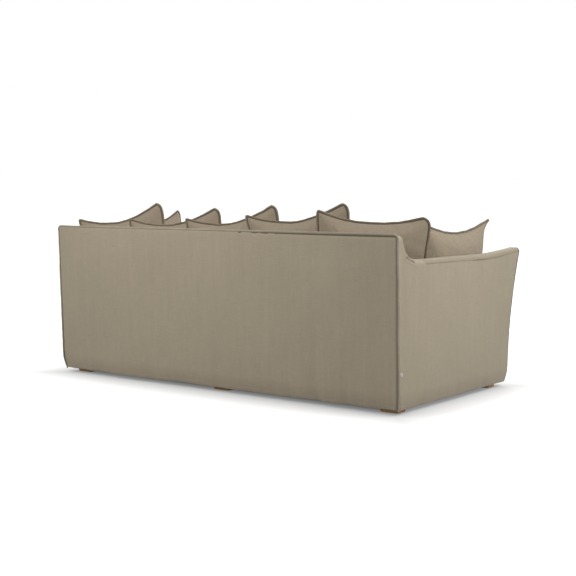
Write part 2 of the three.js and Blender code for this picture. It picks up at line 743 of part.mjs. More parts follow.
// Loose cushion standing upright and facing along Y: crowned both ways, a thin flange all round, corners
// pointed because the sides are drawn in between them, and a top edge that sags.
function cushion(width, height) {
  const sheet = (face) => (u, v) => {
    const a = 2 * u - 1;
    const b = 2 * v - 1;
    const inner_a = 1 - (2 * cushion_flange) / width;
    const inner_b = 1 - (2 * cushion_flange) / height;
    const fill_a = 1 - clamp(Math.abs(a) / inner_a, 0, 1) ** cushion_power;
    const fill_b = 1 - clamp(Math.abs(b) / inner_b, 0, 1) ** cushion_power;
    const crown = (cushion_thickness / 2) * (fill_a * fill_b) ** cushion_fullness;
    const x = a * (width / 2 - cushion_draw_in * (1 - b * b) * Math.abs(a));
    const sag = b > 0 ? cushion_sag * b * (1 - Math.abs(a) ** cushion_sag_power) : 0;
    const z = b * (height / 2 - cushion_draw_in * (1 - a * a) * Math.abs(b)) - sag;
    return new THREE.Vector3(x, face * (crown + cushion_flange_thickness / 2), z);
  };
  return slab(sheet(1), sheet(-1), cushion_shares, cushion_shares);
}

// Moves a turned cushion to x, then back to its wall and down to the seat cushion, clear of both.
function settle(geometry, turn, start, wallGap, toWall) {
  geometry.applyMatrix4(turn);
  geometry.translate(start.x, start.y, start.z);
  const points = geometry.attributes.position;
  const each = (measure) => {
    let least = Infinity;
    for (let i = 0; i < points.count; i++) {
      least = Math.min(least, measure(points.getX(i), points.getY(i), points.getZ(i)));
    }
    return least;
  };
  const rounds = 6;
  for (let i = 0; i < rounds; i++) {
    const to_wall = each(wallGap) - cushion_clearance;
    geometry.translate(to_wall * toWall.x, to_wall * toWall.y, 0);
    const to_seat = each((x, y, z) => z - seatTop(x, Math.max(y, seat_middle_y))) - gap;
    geometry.translate(0, 0, -to_seat);
  }
  return geometry;
}

// Lets a tilted cushion's foot down onto the straight line that just clears the seat cushion, most at the
// foot and not at all at the top. down is the slope of its wall.
function slump(geometry, down) {
  const count = cushion_shares.length;
  const points = geometry.attributes.position;
  const at = (side, row, column) => (side * count + row) * count + column;
  const rounds = 4;
  for (let round = 0; round < rounds; round++) {
    const foot = cushion_shares.map((share, column) => {
      const sheets = [at(0, 0, column), at(1, 0, column)];
      const supports = sheets.map((i) => seatTop(points.getX(i), Math.max(points.getY(i), seat_middle_y)));
      return { share, support: Math.max(...supports), z: Math.min(...sheets.map((i) => points.getZ(i))) };
    });
    const chord = (share) => lerp(foot[0].support, foot[count - 1].support, share);
    const rise = Math.max(...foot.map(({ share, support }) => support - chord(share)));
    foot.forEach(({ share, z }, column) => {
      const drop = z - chord(share) - rise - gap;
      cushion_shares.forEach((up, row) => [0, 1].forEach((side) => {
        const i = at(side, row, column);
        const lowered = drop * (1 - up) ** slump_power;
        const [x, y] = [points.getX(i) + lowered * down.x, points.getY(i) + lowered * down.y];
        points.setXYZ(i, x, y, points.getZ(i) - lowered);
      }));
    });
  }
  geometry.computeVertexNormals();
  return geometry;
}

function turned(order) {
  return order.reduce((matrix, [axis, angle]) => {
    const turn = new THREE.Matrix4().makeRotationAxis(axis, angle);
    return matrix.multiply(turn);
  }, new THREE.Matrix4());
}

// Back cushions from left to right: place along the back, turn, tilt and height. Each stands with its
// right edge near the back and its left part over its left neighbour.
const back_cushions = [
  { place_share: -0.791, turn_deg: 28, tilt_deg: -6, height_share: 1.05 },
  { place_share: -0.446, turn_deg: 18, tilt_deg: 5.4, height_share: 1.064 },
  { place_share: -0.053, turn_deg: 12, tilt_deg: 7, height_share: 1.021 },
  { place_share: 0.352, turn_deg: 18, tilt_deg: 5.2, height_share: 1.008 },
  { place_share: 0.72, turn_deg: 15, tilt_deg: 9.3, height_share: 0.998 },
];

back_cushions.forEach(({ place_share, turn_deg, tilt_deg, height_share }, i) => {
  const geometry = cushion(cushion_width, cushion_height * height_share);
  const turn = turned([[X, -back_lean], [Z, rad(turn_deg)], [Y, rad(tilt_deg)]]);
  const start = new THREE.Vector3(place_share * seat_half, 0, seat_level + cushion_height);
  const wall = (x, y, z) => (z < top_level ? insideFace(z) - y : Infinity);
  const down = new THREE.Vector3(0, -Math.tan(back_lean), -1);
  place(`back_cushion_${i + 1}`, slump(settle(geometry, turn, start, wall, Y), down), "linen");
});

// Arm cushions, one leaning on each arm, its front corner a little higher than its rear one
const arm_cushions = [
  { side: "left", sign: -1, place_share: -0.324, turn_deg: 4, tilt_deg: 1.2, height_share: 0.98 },
  { side: "right", sign: 1, place_share: -0.125, turn_deg: 4, tilt_deg: 7, height_share: 0.922 },
];

arm_cushions.forEach(({ side, sign, place_share, turn_deg, tilt_deg, height_share }) => {
  const geometry = cushion(arm_cushion_width, cushion_height * height_share);
  const turn = turned([
    [Y, sign * arm_cushion_lean],
    [Z, sign * (Math.PI / 2 + rad(turn_deg))],
    [Y, sign * rad(tilt_deg)],
  ]);
  const start = new THREE.Vector3(0, (place_share * seat_depth) / 2, seat_level + cushion_height);
  const wall = (x, y, z) => (z < armTop(y) ? sideReach(y, z) - arm_thickness - sign * x : Infinity);
  const toWall = new THREE.Vector3(sign, 0, 0);
  const down = new THREE.Vector3(-sign * Math.tan(arm_cushion_lean), 0, -1);
  place(`arm_cushion_${side}`, slump(settle(geometry, turn, start, wall, toWall), down), "linen");
});

// The origin is on the floor, in the middle of the outline from front to back.
const reach = new THREE.Box3().setFromObject(sofa, true);
sofa.position.y = -(reach.min.y + reach.max.y) / 2;

export default sofa;
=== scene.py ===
"""A loose-cover sofa with a straight back, flared arms and loose flanged cushions, in taupe washed linen.

Metres. X runs along the sofa's length, -Y is its front, +Y its back and +Z is up, as in the frame.
Left and right are those of someone who stands in front and faces the sofa.
"""
import json
import math

import bpy
import numpy as np
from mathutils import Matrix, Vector


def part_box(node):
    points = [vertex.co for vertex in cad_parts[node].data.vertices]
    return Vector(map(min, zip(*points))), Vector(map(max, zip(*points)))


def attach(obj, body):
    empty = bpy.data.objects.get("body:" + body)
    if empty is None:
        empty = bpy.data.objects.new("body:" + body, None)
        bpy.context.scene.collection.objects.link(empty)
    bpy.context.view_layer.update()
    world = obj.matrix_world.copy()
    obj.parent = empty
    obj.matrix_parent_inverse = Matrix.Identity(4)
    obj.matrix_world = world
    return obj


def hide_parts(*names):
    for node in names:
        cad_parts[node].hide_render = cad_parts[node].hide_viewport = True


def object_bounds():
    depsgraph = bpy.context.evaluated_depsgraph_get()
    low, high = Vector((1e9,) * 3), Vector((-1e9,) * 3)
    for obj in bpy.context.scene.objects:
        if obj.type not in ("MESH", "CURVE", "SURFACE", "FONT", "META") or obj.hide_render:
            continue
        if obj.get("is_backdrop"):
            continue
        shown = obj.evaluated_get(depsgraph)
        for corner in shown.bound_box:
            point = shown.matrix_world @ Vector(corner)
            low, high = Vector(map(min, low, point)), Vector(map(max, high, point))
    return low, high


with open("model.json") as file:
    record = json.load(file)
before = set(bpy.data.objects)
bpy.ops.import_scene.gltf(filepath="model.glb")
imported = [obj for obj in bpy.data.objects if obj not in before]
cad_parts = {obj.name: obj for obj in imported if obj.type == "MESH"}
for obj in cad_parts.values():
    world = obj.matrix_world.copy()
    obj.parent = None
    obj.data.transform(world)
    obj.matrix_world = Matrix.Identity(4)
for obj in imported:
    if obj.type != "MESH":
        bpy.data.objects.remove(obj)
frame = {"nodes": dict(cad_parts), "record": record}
cad_box = [list(corner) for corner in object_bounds()]

# Outer shape of the covered body, as the frame has it
hem_length = 2.2
hem_depth = 1.06
hem_clearance = 0.025
back_height = 0.794
back_rake = 0.024
arm_height = 0.678
arm_thickness = 0.075
arm_flare = 0.055
arm_front_rise = 0.027
arm_rise_run = 0.34
scoop_run = 0.15
scoop_tail = 0.24
scoop_tail_share = 0.1
back_edge = 0.043
edge_radius = 0.025
hem_draw_in = 0.012
hem_draw_height = 0.08
back_top_depth = 0.06
back_lean = math.radians(5)
flare_power = 2.2
scoop_power = 4.2
rise_power = 1.5

# Cloth, layers and clearances
cloth = 0.0024
cover_thickness = 0.003
gap = 0.0003
skin = cover_thickness + gap
flange_width = 0.010
flange_thickness = 0.0036
flange_set_back = 0.001

# Levels above the floor, from the frame's own boxes
deck_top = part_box("deck_cover")[1].z
seat_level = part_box("seat_cushion")[0].z
hem_level = hem_clearance
top_level = hem_level + back_height
arm_level = hem_level + arm_height

# Seat cushion
seat_edge_thickness = 0.135
seat_crown = 0.022
seat_clearance = 0.003
seat_overhang = 0.004
seat_band_swell = 0.006
seat_corner_draw_in = 0.003
seat_side_draw_in = 0.007
seat_crown_power = 3

# Loose cushions
cushion_width = 0.527
arm_cushion_width = 0.61
cushion_height = 0.52
cushion_thickness = 0.132
cushion_flange = 0.014
cushion_flange_thickness = 0.004
cushion_draw_in = 0.017
cushion_sag = 0.036
cushion_clearance = 0.004
cushion_power = 2.6
cushion_fullness = 0.85
cushion_sag_power = 1.5
slump_power = 2
arm_cushion_lean = math.radians(5)

FRAME_BODY = "frame"


# Shape of the covered body

def draw_out(z):
    """How far a panel stands out from its hem: a parabola that reaches the whole draw-in at its height."""
    share = np.clip((z - hem_level) / hem_draw_height, 0, 1)
    return hem_draw_in * (1 - (1 - share) ** 2)


def rear_reach(z):
    """Outer face of the back: straight above the hem, leaning back by the rake."""
    return hem_depth / 2 + draw_out(z) + back_rake * (z - hem_level) / back_height


def front_reach(z):
    """Outer face of the front, as a distance in front of the middle."""
    return hem_depth / 2 + draw_out(z)


def side_reach(y, z):
    """Outer face of an arm: the flare grows evenly towards the front and as a power of the height."""
    flare_run = hem_depth + 2 * hem_draw_in + back_rake
    forward = (hem_depth / 2 + hem_draw_in + back_rake - y) / flare_run
    height = np.maximum(0, z - hem_level) / arm_height
    return hem_length / 2 + draw_out(z) + arm_flare * forward * height ** flare_power


def inside_face(z):
    """Inner face of the back: a plane that leans back."""
    return rear_reach(top_level) - back_top_depth - (top_level - z) * math.tan(back_lean)


def arm_top(y):
    """Top line of an arm: level, rising as a power at the front, swept up to the back's top as a power,
    with a share of a longer parabola that eases its foot."""
    scoop_start = rear_reach(top_level) - back_edge - scoop_run
    swept = np.clip((y - scoop_start) / scoop_run, 0, 1)
    risen = np.clip((arm_rise_run - front_reach(arm_level) - y) / arm_rise_run, 0, 1)
    eased = np.clip((y - scoop_start - scoop_run + scoop_tail) / scoop_tail, 0, 1)
    swept = lerp(swept ** scoop_power, eased ** 2, scoop_tail_share)
    sweep = (top_level - arm_level) * swept
    return arm_level + sweep + arm_front_rise * risen ** rise_power


def seat_half_length():
    """Half the seat cushion's length at its seams."""
    back_half = side_reach(rear_reach(top_level), top_level) - arm_thickness - gap
    return back_half - seat_clearance - seat_band_swell


seat_half = float(seat_half_length())
seat_rear_y = float(inside_face(seat_level)) - seat_clearance
seat_front_y = -(float(front_reach(seat_level)) + seat_overhang)
seat_depth = seat_rear_y - seat_front_y - 2 * seat_band_swell
seat_middle_y = (seat_rear_y + seat_front_y) / 2


def seat_top(x, y):
    """Height of the seat cushion's top: a crown that falls off as a power of the distance from the middle."""
    across = np.clip(np.abs(x) / seat_half, 0, 1)
    along = np.clip(np.abs(y - seat_middle_y) / (seat_depth / 2), 0, 1)
    crown = seat_crown * (1 - across ** (2 * seat_crown_power)) * (1 - along ** seat_crown_power)
    return seat_level + seat_edge_thickness + crown


# The frame's outline, flanges and all, is centred from front to back, which moves the whole body by this
body_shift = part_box("outer_back_cover")[1].y - float(rear_reach(top_level))


# Number helpers

def lerp(a, b, share):
    """Value a share of the way from a to b."""
    return a + (b - a) * share


def shares(stops, counts):
    """Shares from the first stop to the last, with each stretch between two stops cut into its own count."""
    parts = [np.linspace(a, b, n, endpoint=False) for a, b, n in zip(stops, stops[1:], counts)]
    return np.concatenate([*parts, [stops[-1]]])


def eased(share):
    """Share that starts and ends softly."""
    return share * share * (3 - 2 * share)


def noise(x, y, size, seed):
    """Smooth random height from -1 to 1: random values on squares of one size, joined by a soft step."""
    cells = 64
    table = np.random.default_rng(seed).uniform(-1, 1, (cells, cells))
    gx, gy = x / size + cells, y / size + cells
    ix, iy = np.floor(gx).astype(int), np.floor(gy).astype(int)
    fx, fy = eased(gx - ix), eased(gy - iy)
    corner = lambda i, j: table[(iy + j) % cells, (ix + i) % cells]
    low = lerp(corner(0, 0), corner(1, 0), fx)
    high = lerp(corner(0, 1), corner(1, 1), fx)
    return lerp(low, high, fy)


def waves(x, y, terms, seed, start=0):
    """Sum of smooth noises. A term has its height, its size, a factor on y and the step of its seed."""
    parts = (height * noise(x, y * drawn_in, size, seed + step) for height, size, drawn_in, step in terms)
    return sum(parts, start)


def unit(vectors):
    """Vectors scaled to length one."""
    return vectors / np.maximum(np.linalg.norm(vectors, axis=-1, keepdims=True), 1e-12)


def grid_normals(points, facing):
    """Normals of a grid of points, turned so that on the whole they look the way facing does."""
    normals = unit(np.cross(np.gradient(points, axis=1), np.gradient(points, axis=0)))
    return normals if (normals @ np.array(facing, float)).sum() > 0 else -normals


def run_lengths(points, axis):
    """Length along each line of a grid, from its start."""
    step = np.linalg.norm(np.diff(points, axis=axis), axis=-1)
    start = np.zeros_like(np.take(step, [0], axis=axis))
    return np.cumsum(np.concatenate([start, step], axis=axis), axis=axis)


# Meshes

def new_object(name, verts, faces, uv=None, seam=None, material=None, stitch=None):
    """Object from vertices and faces, moved with the body.

    uv holds cloth coordinates in metres, seam each point's distance to a seam and stitch its distance to a
    row of stitches, plus one, so that a piece without the attribute is far from any stitch.
    """
    mesh = bpy.data.meshes.new(name)
    placed = np.asarray(verts, float).reshape(-1, 3) + np.array([0, body_shift, 0])
    mesh.from_pydata(placed.tolist(), [], faces)
    if uv is not None:
        layer = mesh.uv_layers.new(name="cloth")
        corners = np.zeros(len(mesh.loops), np.int32)
        mesh.loops.foreach_get("vertex_index", corners)
        layer.data.foreach_set("uv", np.asarray(uv, np.float32).reshape(-1, 2)[corners].ravel())
    if seam is not None:
        attribute = mesh.attributes.new("seam", "FLOAT", "POINT")
        attribute.data.foreach_set("value", np.asarray(seam, np.float32).ravel())
    if stitch is not None:
        attribute = mesh.attributes.new("stitch", "FLOAT", "POINT")
        attribute.data.foreach_set("value", np.asarray(stitch, np.float32).ravel() + 1)
    mesh.polygons.foreach_set("use_smooth", np.ones(len(mesh.polygons), bool))
    mesh.update()
    obj = bpy.data.objects.new(name, mesh)
    bpy.context.scene.collection.objects.link(obj)
    if material is not None:
        mesh.materials.append(material)
    return obj


def grid_faces(rows, columns, flip=False, around=False):
    """Quads of a grid. With around, the last column joins the first."""
    j, i = np.meshgrid(np.arange(rows - 1), np.arange(columns if around else columns - 1), indexing="ij")
    k = (i + 1) % columns
    quads = np.stack([j * columns + i, j * columns + k, (j + 1) * columns + k, (j + 1) * columns + i], -1)
    quads = quads.reshape(-1, 4)
    return (quads[:, ::-1] if flip else quads).tolist()


def grid_object(name, points, facing, uv=None, seam=None, material=None, stitch=None):
    """Open sheet through a grid of points, its faces looking the way facing does."""
    raw = np.cross(np.gradient(points, axis=1), np.gradient(points, axis=0))
    flip = (raw @ np.array(facing, float)).sum() < 0
    rows, columns = points.shape[:2]
    return new_object(name, points, grid_faces(rows, columns, flip), uv, seam, material, stitch)


def thicken(obj, thickness):
    """Gives a sheet its thickness, inwards from its face, with closed rims."""
    wall = obj.modifiers.new("Cloth thickness", "SOLIDIFY")
    wall.thickness = thickness
    wall.offset = -1
    wall.use_even_offset = False
    wall.use_rim = True
    return obj


def swept(name, rings, material, uv=None, seam=None, closed_path=False, stitch=None):
    """Closed skin round a row of rings, capped at both ends unless the path closes on itself."""
    count, size = rings.shape[:2]
    index = np.arange(count * size).reshape(count, size)
    steps = np.concatenate([index, index[:1]]) if closed_path else index
    a, b = steps[:-1], steps[1:]
    quads = np.stack([a, np.roll(a, -1, 1), np.roll(b, -1, 1), b], -1).reshape(-1, 4)
    faces = quads.tolist()
    if not closed_path:
        faces += [index[0, ::-1].tolist(), index[-1].tolist()]
    obj = new_object(name, rings, faces, uv, seam, material, stitch)
    outward(obj)
    return obj


def outward(obj):
    """Turns a closed mesh's faces outwards if its signed volume is negative."""
    mesh = obj.data
    points = np.zeros(len(mesh.vertices) * 3)
    mesh.vertices.foreach_get("co", points)
    points = points.reshape(-1, 3)
    mesh.calc_loop_triangles()
    tris = np.zeros(len(mesh.loop_triangles) * 3, np.int32)
    mesh.loop_triangles.foreach_get("vertices", tris)
    a, b, c = points[tris.reshape(-1, 3)].transpose(1, 0, 2)
    if (a * np.cross(b, c)).sum() < 0:
        mesh.flip_normals()
    mesh.update()


def finer(pad):
    """Turns a padded piece's faces outwards and gives it one level of subdivision."""
    outward(pad)
    smooth = pad.modifiers.new("Finer cloth", "SUBSURF")
    smooth.levels = smooth.render_levels = 1


# Materials

class Value:
    """Output of a shader node. Sums, differences, products and quotients of values become Math nodes."""

    def __init__(self, nodes, socket):
        self.nodes, self.socket = nodes, socket

    def through(self, operation, *others):
        """Result of a Math node that has this value as its first input."""
        return self.nodes.add("ShaderNodeMath", dict(enumerate((self, *others))), operation=operation)

    def __add__(self, other):
        return self.through("ADD", other)

    def __sub__(self, other):
        return self.through("SUBTRACT", other)

    def __mul__(self, other):
        return self.through("MULTIPLY", other)

    def __truediv__(self, other):
        return self.through("DIVIDE", other)

    def __rtruediv__(self, other):
        return self.nodes.add("ShaderNodeMath", {0: other, 1: self}, operation="DIVIDE")

    def __getitem__(self, key):
        """Another output of the same node."""
        return Value(self.nodes, self.socket.node.outputs[key])

    def mapped(self, start, end, low=0.0, high=1.0, **settings):
        """Value between low and high, by its place between start and end."""
        return self.nodes.add("ShaderNodeMapRange", {0: self, 1: start, 2: end, 3: low, 4: high}, **settings)


class Nodes:
    """Node tree that nodes are added to."""

    def __init__(self, tree):
        self.tree = tree

    def fill(self, node, inputs):
        """Links or sets a node's inputs, by place or name."""
        for key, given in inputs.items():
            given = getattr(given, "socket", given)
            if isinstance(given, bpy.types.NodeSocket):
                self.tree.links.new(given, node.inputs[key])
            else:
                node.inputs[key].default_value = given

    def add(self, kind, inputs=None, output=0, **settings):
        """New node with its settings and inputs. Gives one of its outputs."""
        node = self.tree.nodes.new(kind)
        for key, value in settings.items():
            setattr(node, key, value)
        self.fill(node, inputs or {})
        return Value(self, node.outputs[output])

    def object_place(self):
        """Place on the object, in metres."""
        return self.add("ShaderNodeTexCoord", output="Object")

    def noise(self, place, cells, detail=2.0, roughness=0.5):
        """Noise round zero, with so many cells to the metre in each direction."""
        drawn = self.add("ShaderNodeMapping", {"Vector": place, "Scale": cells})
        return self.add("ShaderNodeTexNoise", {"Vector": drawn, "Scale": 1.0, "Detail": detail,
                                               "Roughness": roughness}, "Fac") - 0.5

    def tinted(self, colour, brightness):
        """Colour made lighter or darker."""
        return self.add("ShaderNodeHueSaturation", {"Color": colour, "Value": brightness})

    def relief(self, height, distance, strength, **under):
        """Normal of a bumpy surface."""
        return self.add("ShaderNodeBump", {"Height": height, "Distance": distance, "Strength": strength,
                                           **under})

    def mix(self, share, first, second):
        """Colour between two, by a share."""
        return self.add("ShaderNodeMix", {"Factor": share, 6: first, 7: second}, 2, data_type="RGBA")


def new_material(name):
    """Material, its nodes, and a function that fills its Principled shader's inputs."""
    material = bpy.data.materials.new(name)
    material.use_nodes = True
    nodes = Nodes(material.node_tree)
    shader = material.node_tree.nodes["Principled BSDF"]
    named = lambda inputs: {shader_inputs[key]: given for key, given in inputs.items()}
    return material, nodes, lambda **inputs: nodes.fill(shader, named(inputs))


shader_inputs = {"colour": "Base Color", "roughness": "Roughness", "normal": "Normal", "metal": "Metallic",
                 "gloss": "Specular IOR Level", "sheen": "Sheen Weight", "sheen_roughness": "Sheen Roughness"}


def linear(srgb):
    """Linear colour with alpha, from sRGB values out of 255."""
    share = np.array(srgb, float) / 255
    value = np.where(share <= 0.04045, share / 12.92, ((share + 0.055) / 1.055) ** 2.4)
    return (*value.tolist(), 1.0)


# Linen: cells to the metre across the warp and along it, shares of each layer in the tone and in the height
linen_cells = {"slub_up": (520, 16, 1), "slub_across": (14, 480, 1), "grain": (230, 150, 1),
               "streak": (34, 2.2, 1), "cloud": (3.1, 2.3, 1), "crease": (24, 15, 1)}
tone_share = {"slub": 0.20, "grain": 0.16, "streak": 0.13, "cloud": 0.12, "weave": 0.05, "thread": 0.3}
height_share = {"weave": 0.5, "slub": 1.1, "grain": 0.7, "thread": 1.6}
thread_pitch = 0.0011
stitch_pitch = 0.0042
stitch_length_share = 0.72
stitch_half_width = 0.00045
# Painted shade in the pinch beside a row of stitches: the colour falls to low on the line and is full again
# by end.
stitch_pinch_shade = {"start": 0.0004, "end": 0.002, "low": 0.93}
# Painted shade along seams: the linen's colour falls to low at a seam distance of start and is full again by
# end.
painted_seam_shade = {"start": 0.0005, "end": 0.0075, "low": 0.32}
slub_gloss = 0.12
linen_roughness = 0.9
linen_inputs = [("Vector", "NodeSocketVector", None), ("Color", "NodeSocketColor", None),
                ("Thread", "NodeSocketFloat", thread_pitch), ("Slubs", "NodeSocketFloat", 1.0),
                ("Mottle", "NodeSocketFloat", 1.0), ("Seam", "NodeSocketFloat", 0.05),
                ("Stitch", "NodeSocketFloat", 0.0)]
linen_outputs = [("Color", "NodeSocketColor"), ("Roughness", "NodeSocketFloat"),
                 ("Height", "NodeSocketFloat")]


def linen_group():
    """Washed linen: a plain weave of warp and weft, slubs both ways, soft streaks down the warp and mottling.

    The weave's height is the product of two sines of half a thread's pitch, so threads go over and under.
    """
    group = bpy.data.node_groups.new("Washed linen", "ShaderNodeTree")
    for label, kind, default in linen_inputs:
        socket = group.interface.new_socket(name=label, in_out="INPUT", socket_type=kind)
        if default is not None:
            socket.default_value = default
    for label, kind in linen_outputs:
        group.interface.new_socket(name=label, in_out="OUTPUT", socket_type=kind)
    nodes = Nodes(group)
    given = nodes.add("NodeGroupInput")
    where = given["Vector"]
    split = nodes.add("ShaderNodeSeparateXYZ", {0: where})
    pitch = math.pi / given["Thread"]
    weave = (split["X"] * pitch).through("SINE") * (split["Y"] * pitch).through("SINE")
    slub = nodes.noise(where, linen_cells["slub_up"]) + nodes.noise(where, linen_cells["slub_across"])
    grain = nodes.noise(where, linen_cells["grain"], 3.0, 0.65)
    streak = nodes.noise(where, linen_cells["streak"], 3.0, 0.6)
    cloud = nodes.noise(where, linen_cells["cloud"])

    soft = streak * tone_share["streak"] + cloud * tone_share["cloud"]
    tone = slub * (given["Slubs"] * tone_share["slub"]) + grain * tone_share["grain"]
    tone = tone + soft * given["Mottle"] + weave * tone_share["weave"]
    # Painted shade: the colour darkens towards every seam, dart, hem step and flange groove, by the seam
    # attribute.
    seam = given["Seam"].mapped(**painted_seam_shade, interpolation_type="SMOOTHSTEP")
    # off_line is the distance to a row of stitches; beside it the colour is darkened as painted shade in the
    # pinch.
    off_line = (given["Stitch"] - 1.0).through("ABSOLUTE")
    dash = (split["X"] / stitch_pitch).through("FRACT")
    thread = off_line.through("LESS_THAN", stitch_half_width) * dash.through("LESS_THAN", stitch_length_share)
    brightness = (tone + 1.0) * seam * off_line.mapped(**stitch_pinch_shade) * (thread * tone_share["thread"] + 1.0)
    height = weave * height_share["weave"] + slub * height_share["slub"]
    height = height + grain * height_share["grain"] + thread * height_share["thread"]
    nodes.fill(group.nodes.new("NodeGroupOutput"), {
        "Color": nodes.tinted(given["Color"], brightness), "Roughness": slub * -slub_gloss + linen_roughness,
        "Height": height})
    return group


def linen_material(name, srgb, from_object=False, rumple=0.0):
    """Linen in one colour. Its weave follows the cloth coordinates, or the object's own where it has none."""
    material, nodes, finish = new_material(name)
    inputs = {"Color": linear(srgb)}
    if from_object:
        where = nodes.object_place()
    else:
        where = nodes.add("ShaderNodeUVMap", uv_map="cloth")
        for label in ("Seam", "Stitch"):
            inputs[label] = nodes.add("ShaderNodeAttribute", output="Fac", attribute_name=label.lower())
    linen_cloth = nodes.add("ShaderNodeGroup", {"Vector": where, **inputs}, node_tree=cloth_group)
    normal = nodes.relief(linen_cloth["Height"], 0.0004, 0.5)
    if rumple:
        creases = nodes.noise(where, linen_cells["crease"], 4.0, 0.55)
        normal = nodes.relief(creases, rumple, 1.0, Normal=normal)
    finish(colour=linen_cloth["Color"], roughness=linen_cloth["Roughness"], normal=normal, gloss=0.25,
           sheen=0.25, sheen_roughness=0.45)
    return material


def wood_material(name, srgb, srgb_dark, roughness, ring_size):
    """Wood with growth rings cut along the piece, fine pores and a little wear in its tone."""
    material, nodes, finish = new_material(name)
    where = nodes.object_place()
    drawn = nodes.add("ShaderNodeMapping", {"Vector": where, "Scale": (1.2, 9, 9)})
    warp = nodes.add("ShaderNodeTexNoise", {"Vector": drawn, "Scale": 3.0, "Detail": 3.0}, "Fac")
    rings = (warp * (1 / ring_size)).through("SINE")
    pores = nodes.noise(where, (60, 1300, 1300))
    patch = nodes.noise(where, (7, 7, 7))
    mask = (rings * 0.28 + pores * 0.9 + patch * 0.5).mapped(-0.6, 0.7)
    finish(colour=nodes.mix(mask, linear(srgb_dark), linear(srgb)), normal=nodes.relief(pores, 0.0003, 0.4),
           roughness=pores * 0.3 + roughness)
    return material


def woven_material(name, srgb, rib):
    """Webbing or dust cloth: ribs both ways at one pitch, with a faint tone of their own."""
    material, nodes, finish = new_material(name)
    where = nodes.object_place()
    split = nodes.add("ShaderNodeSeparateXYZ", {0: where})
    across = (split["X"] * (math.tau / rib)).through("SINE")
    weave = across * ((split["Y"] + split["Z"]) * (math.tau / rib)).through("SINE")
    fuzz = nodes.noise(where, (300, 300, 300))
    patch = nodes.noise(where, (6, 6, 6), 3.0)
    finish(colour=nodes.tinted(linear(srgb), weave * 0.14 + fuzz * 0.5 + patch * 0.25 + 1.0),
           normal=nodes.relief(weave, 0.0004, 0.6), roughness=fuzz * 0.1 + 0.9, gloss=0.2)
    return material


def wadding_material():
    """White polyester wadding: soft felted fibres."""
    material, nodes, finish = new_material("Felted wadding")
    fibres = nodes.noise(nodes.object_place(), (90, 90, 90), 6.0, 0.7)
    finish(colour=nodes.tinted(linear((226, 222, 212)), fibres * 0.16 + 1.0),
           normal=nodes.relief(fibres, 0.004, 0.8), roughness=fibres * 0.1 + 0.95)
    return material


def steel_material():
    """Zinc-plated steel with a faint spangle."""
    material, nodes, finish = new_material("Zinc plate")
    spangle = nodes.noise(nodes.object_place(), (240, 240, 240))
    finish(colour=nodes.tinted(linear((190, 194, 198)), spangle * 0.3 + 1.0), roughness=spangle * 0.25 + 0.38,
           metal=1.0)
    return material


cloth_group = linen_group()
taupe = (168, 156, 135)
# Lighter copy of the panel linen for the corner flanges: a painted highlight, so that they look lit.
lit_flange_taupe = (182, 170, 150)
# Darker copy of the panel linen for the inner back panel: painted shade.
shaded_inner_taupe = (156, 143, 124)
# Darker copy of the same linen for the cushions: painted shade.
shaded_cushion_taupe = (150, 137, 118)
# Still darker copy of the same linen for the cushions' and seat's flanges: painted shade.
shaded_rim_taupe = (140, 127, 109)
# Darker copy of the panel linen for the inner arms and their tops: painted shade.
shaded_arm_taupe = (150, 139, 119)
panel_rumple = 0.0016
cushion_rumple = 0.0035
linen = linen_material("Taupe linen panels", taupe, rumple=panel_rumple)
shaded_inner_linen = linen_material("Taupe linen inner panels, painted shade", shaded_inner_taupe, rumple=panel_rumple)
shaded_arm_linen = linen_material("Taupe linen inner arms, painted shade", shaded_arm_taupe, rumple=panel_rumple)
shaded_cushion_linen = linen_material("Taupe linen cushions, painted shade", shaded_cushion_taupe, rumple=cushion_rumple)
lit_flange_linen = linen_material("Taupe linen flanges, painted highlight", lit_flange_taupe)
shaded_rim_linen = linen_material("Taupe linen cushion rims, painted shade", shaded_rim_taupe)
linen_deck = linen_material("Taupe linen deck", taupe, from_object=True)
softwood = wood_material("Sawn softwood", (205, 176, 132), (178, 143, 98), 0.75, 0.03)
# The feet's oak is paler than it is: partly its own pale tone, partly painted light, so that they look lit in
# the sofa's shade.
foot_wood = wood_material("Oiled pale oak, partly painted light", (246, 200, 134), (228, 168, 100), 0.5, 0.035)
webbing = woven_material("Black webbing", (44, 42, 39), 0.004)
dust_cloth = woven_material("Black dust cloth", (32, 32, 33), 0.0016)
wadding = wadding_material()
steel = steel_material()
tape = woven_material("Blank woven tape", (232, 226, 214), 0.0011)


# Sewn panels

def softened(points, normals, inward, distance, radius):
    """Rounds a sheet off towards an edge by half of a quarter round. Two such panels meet at its middle."""
    half_turn_share = 1 - math.cos(math.pi / 4)
    fall = np.clip(1 - distance / radius, 0, 1) ** 2
    shift = half_turn_share * radius * fall
    return points - normals * shift[..., None] + inward * shift[..., None]


def to_segment(y, z, start, end):
    """Distance in the plane of y and z from points to a straight line between two ends."""
    run = np.array(end) - np.array(start)
    share = np.clip(((y - start[0]) * run[0] + (z - start[1]) * run[1]) / (run @ run), 0, 1)
    return np.hypot(y - start[0] - share * run[0], z - start[1] - share * run[1])


def declare(piece, body, node=None):
    """Ties a piece to its body and hides the frame node that it stands for."""
    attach(piece, body)
    if node:
        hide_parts(node)


def cut(kind, width, height):
    """Flat size of a panel: the body's own, with what is turned in at seams and hem or rolls over an edge."""
    beyond = cut_allowance[kind]
    return width + beyond[0], height + beyond[1]


cut_allowance = {"outer back": (0.03, 0.05), "outer arm": (0.06, 0.14), "inner arm": (0.06, 0.02),
                 "arm front": (0.02, 0.06), "front": (0.05, 0), "inner back": (0.04, 0.2),
                 "flat": (0.02, 0.02),
                 "gusset": (0, 0)}

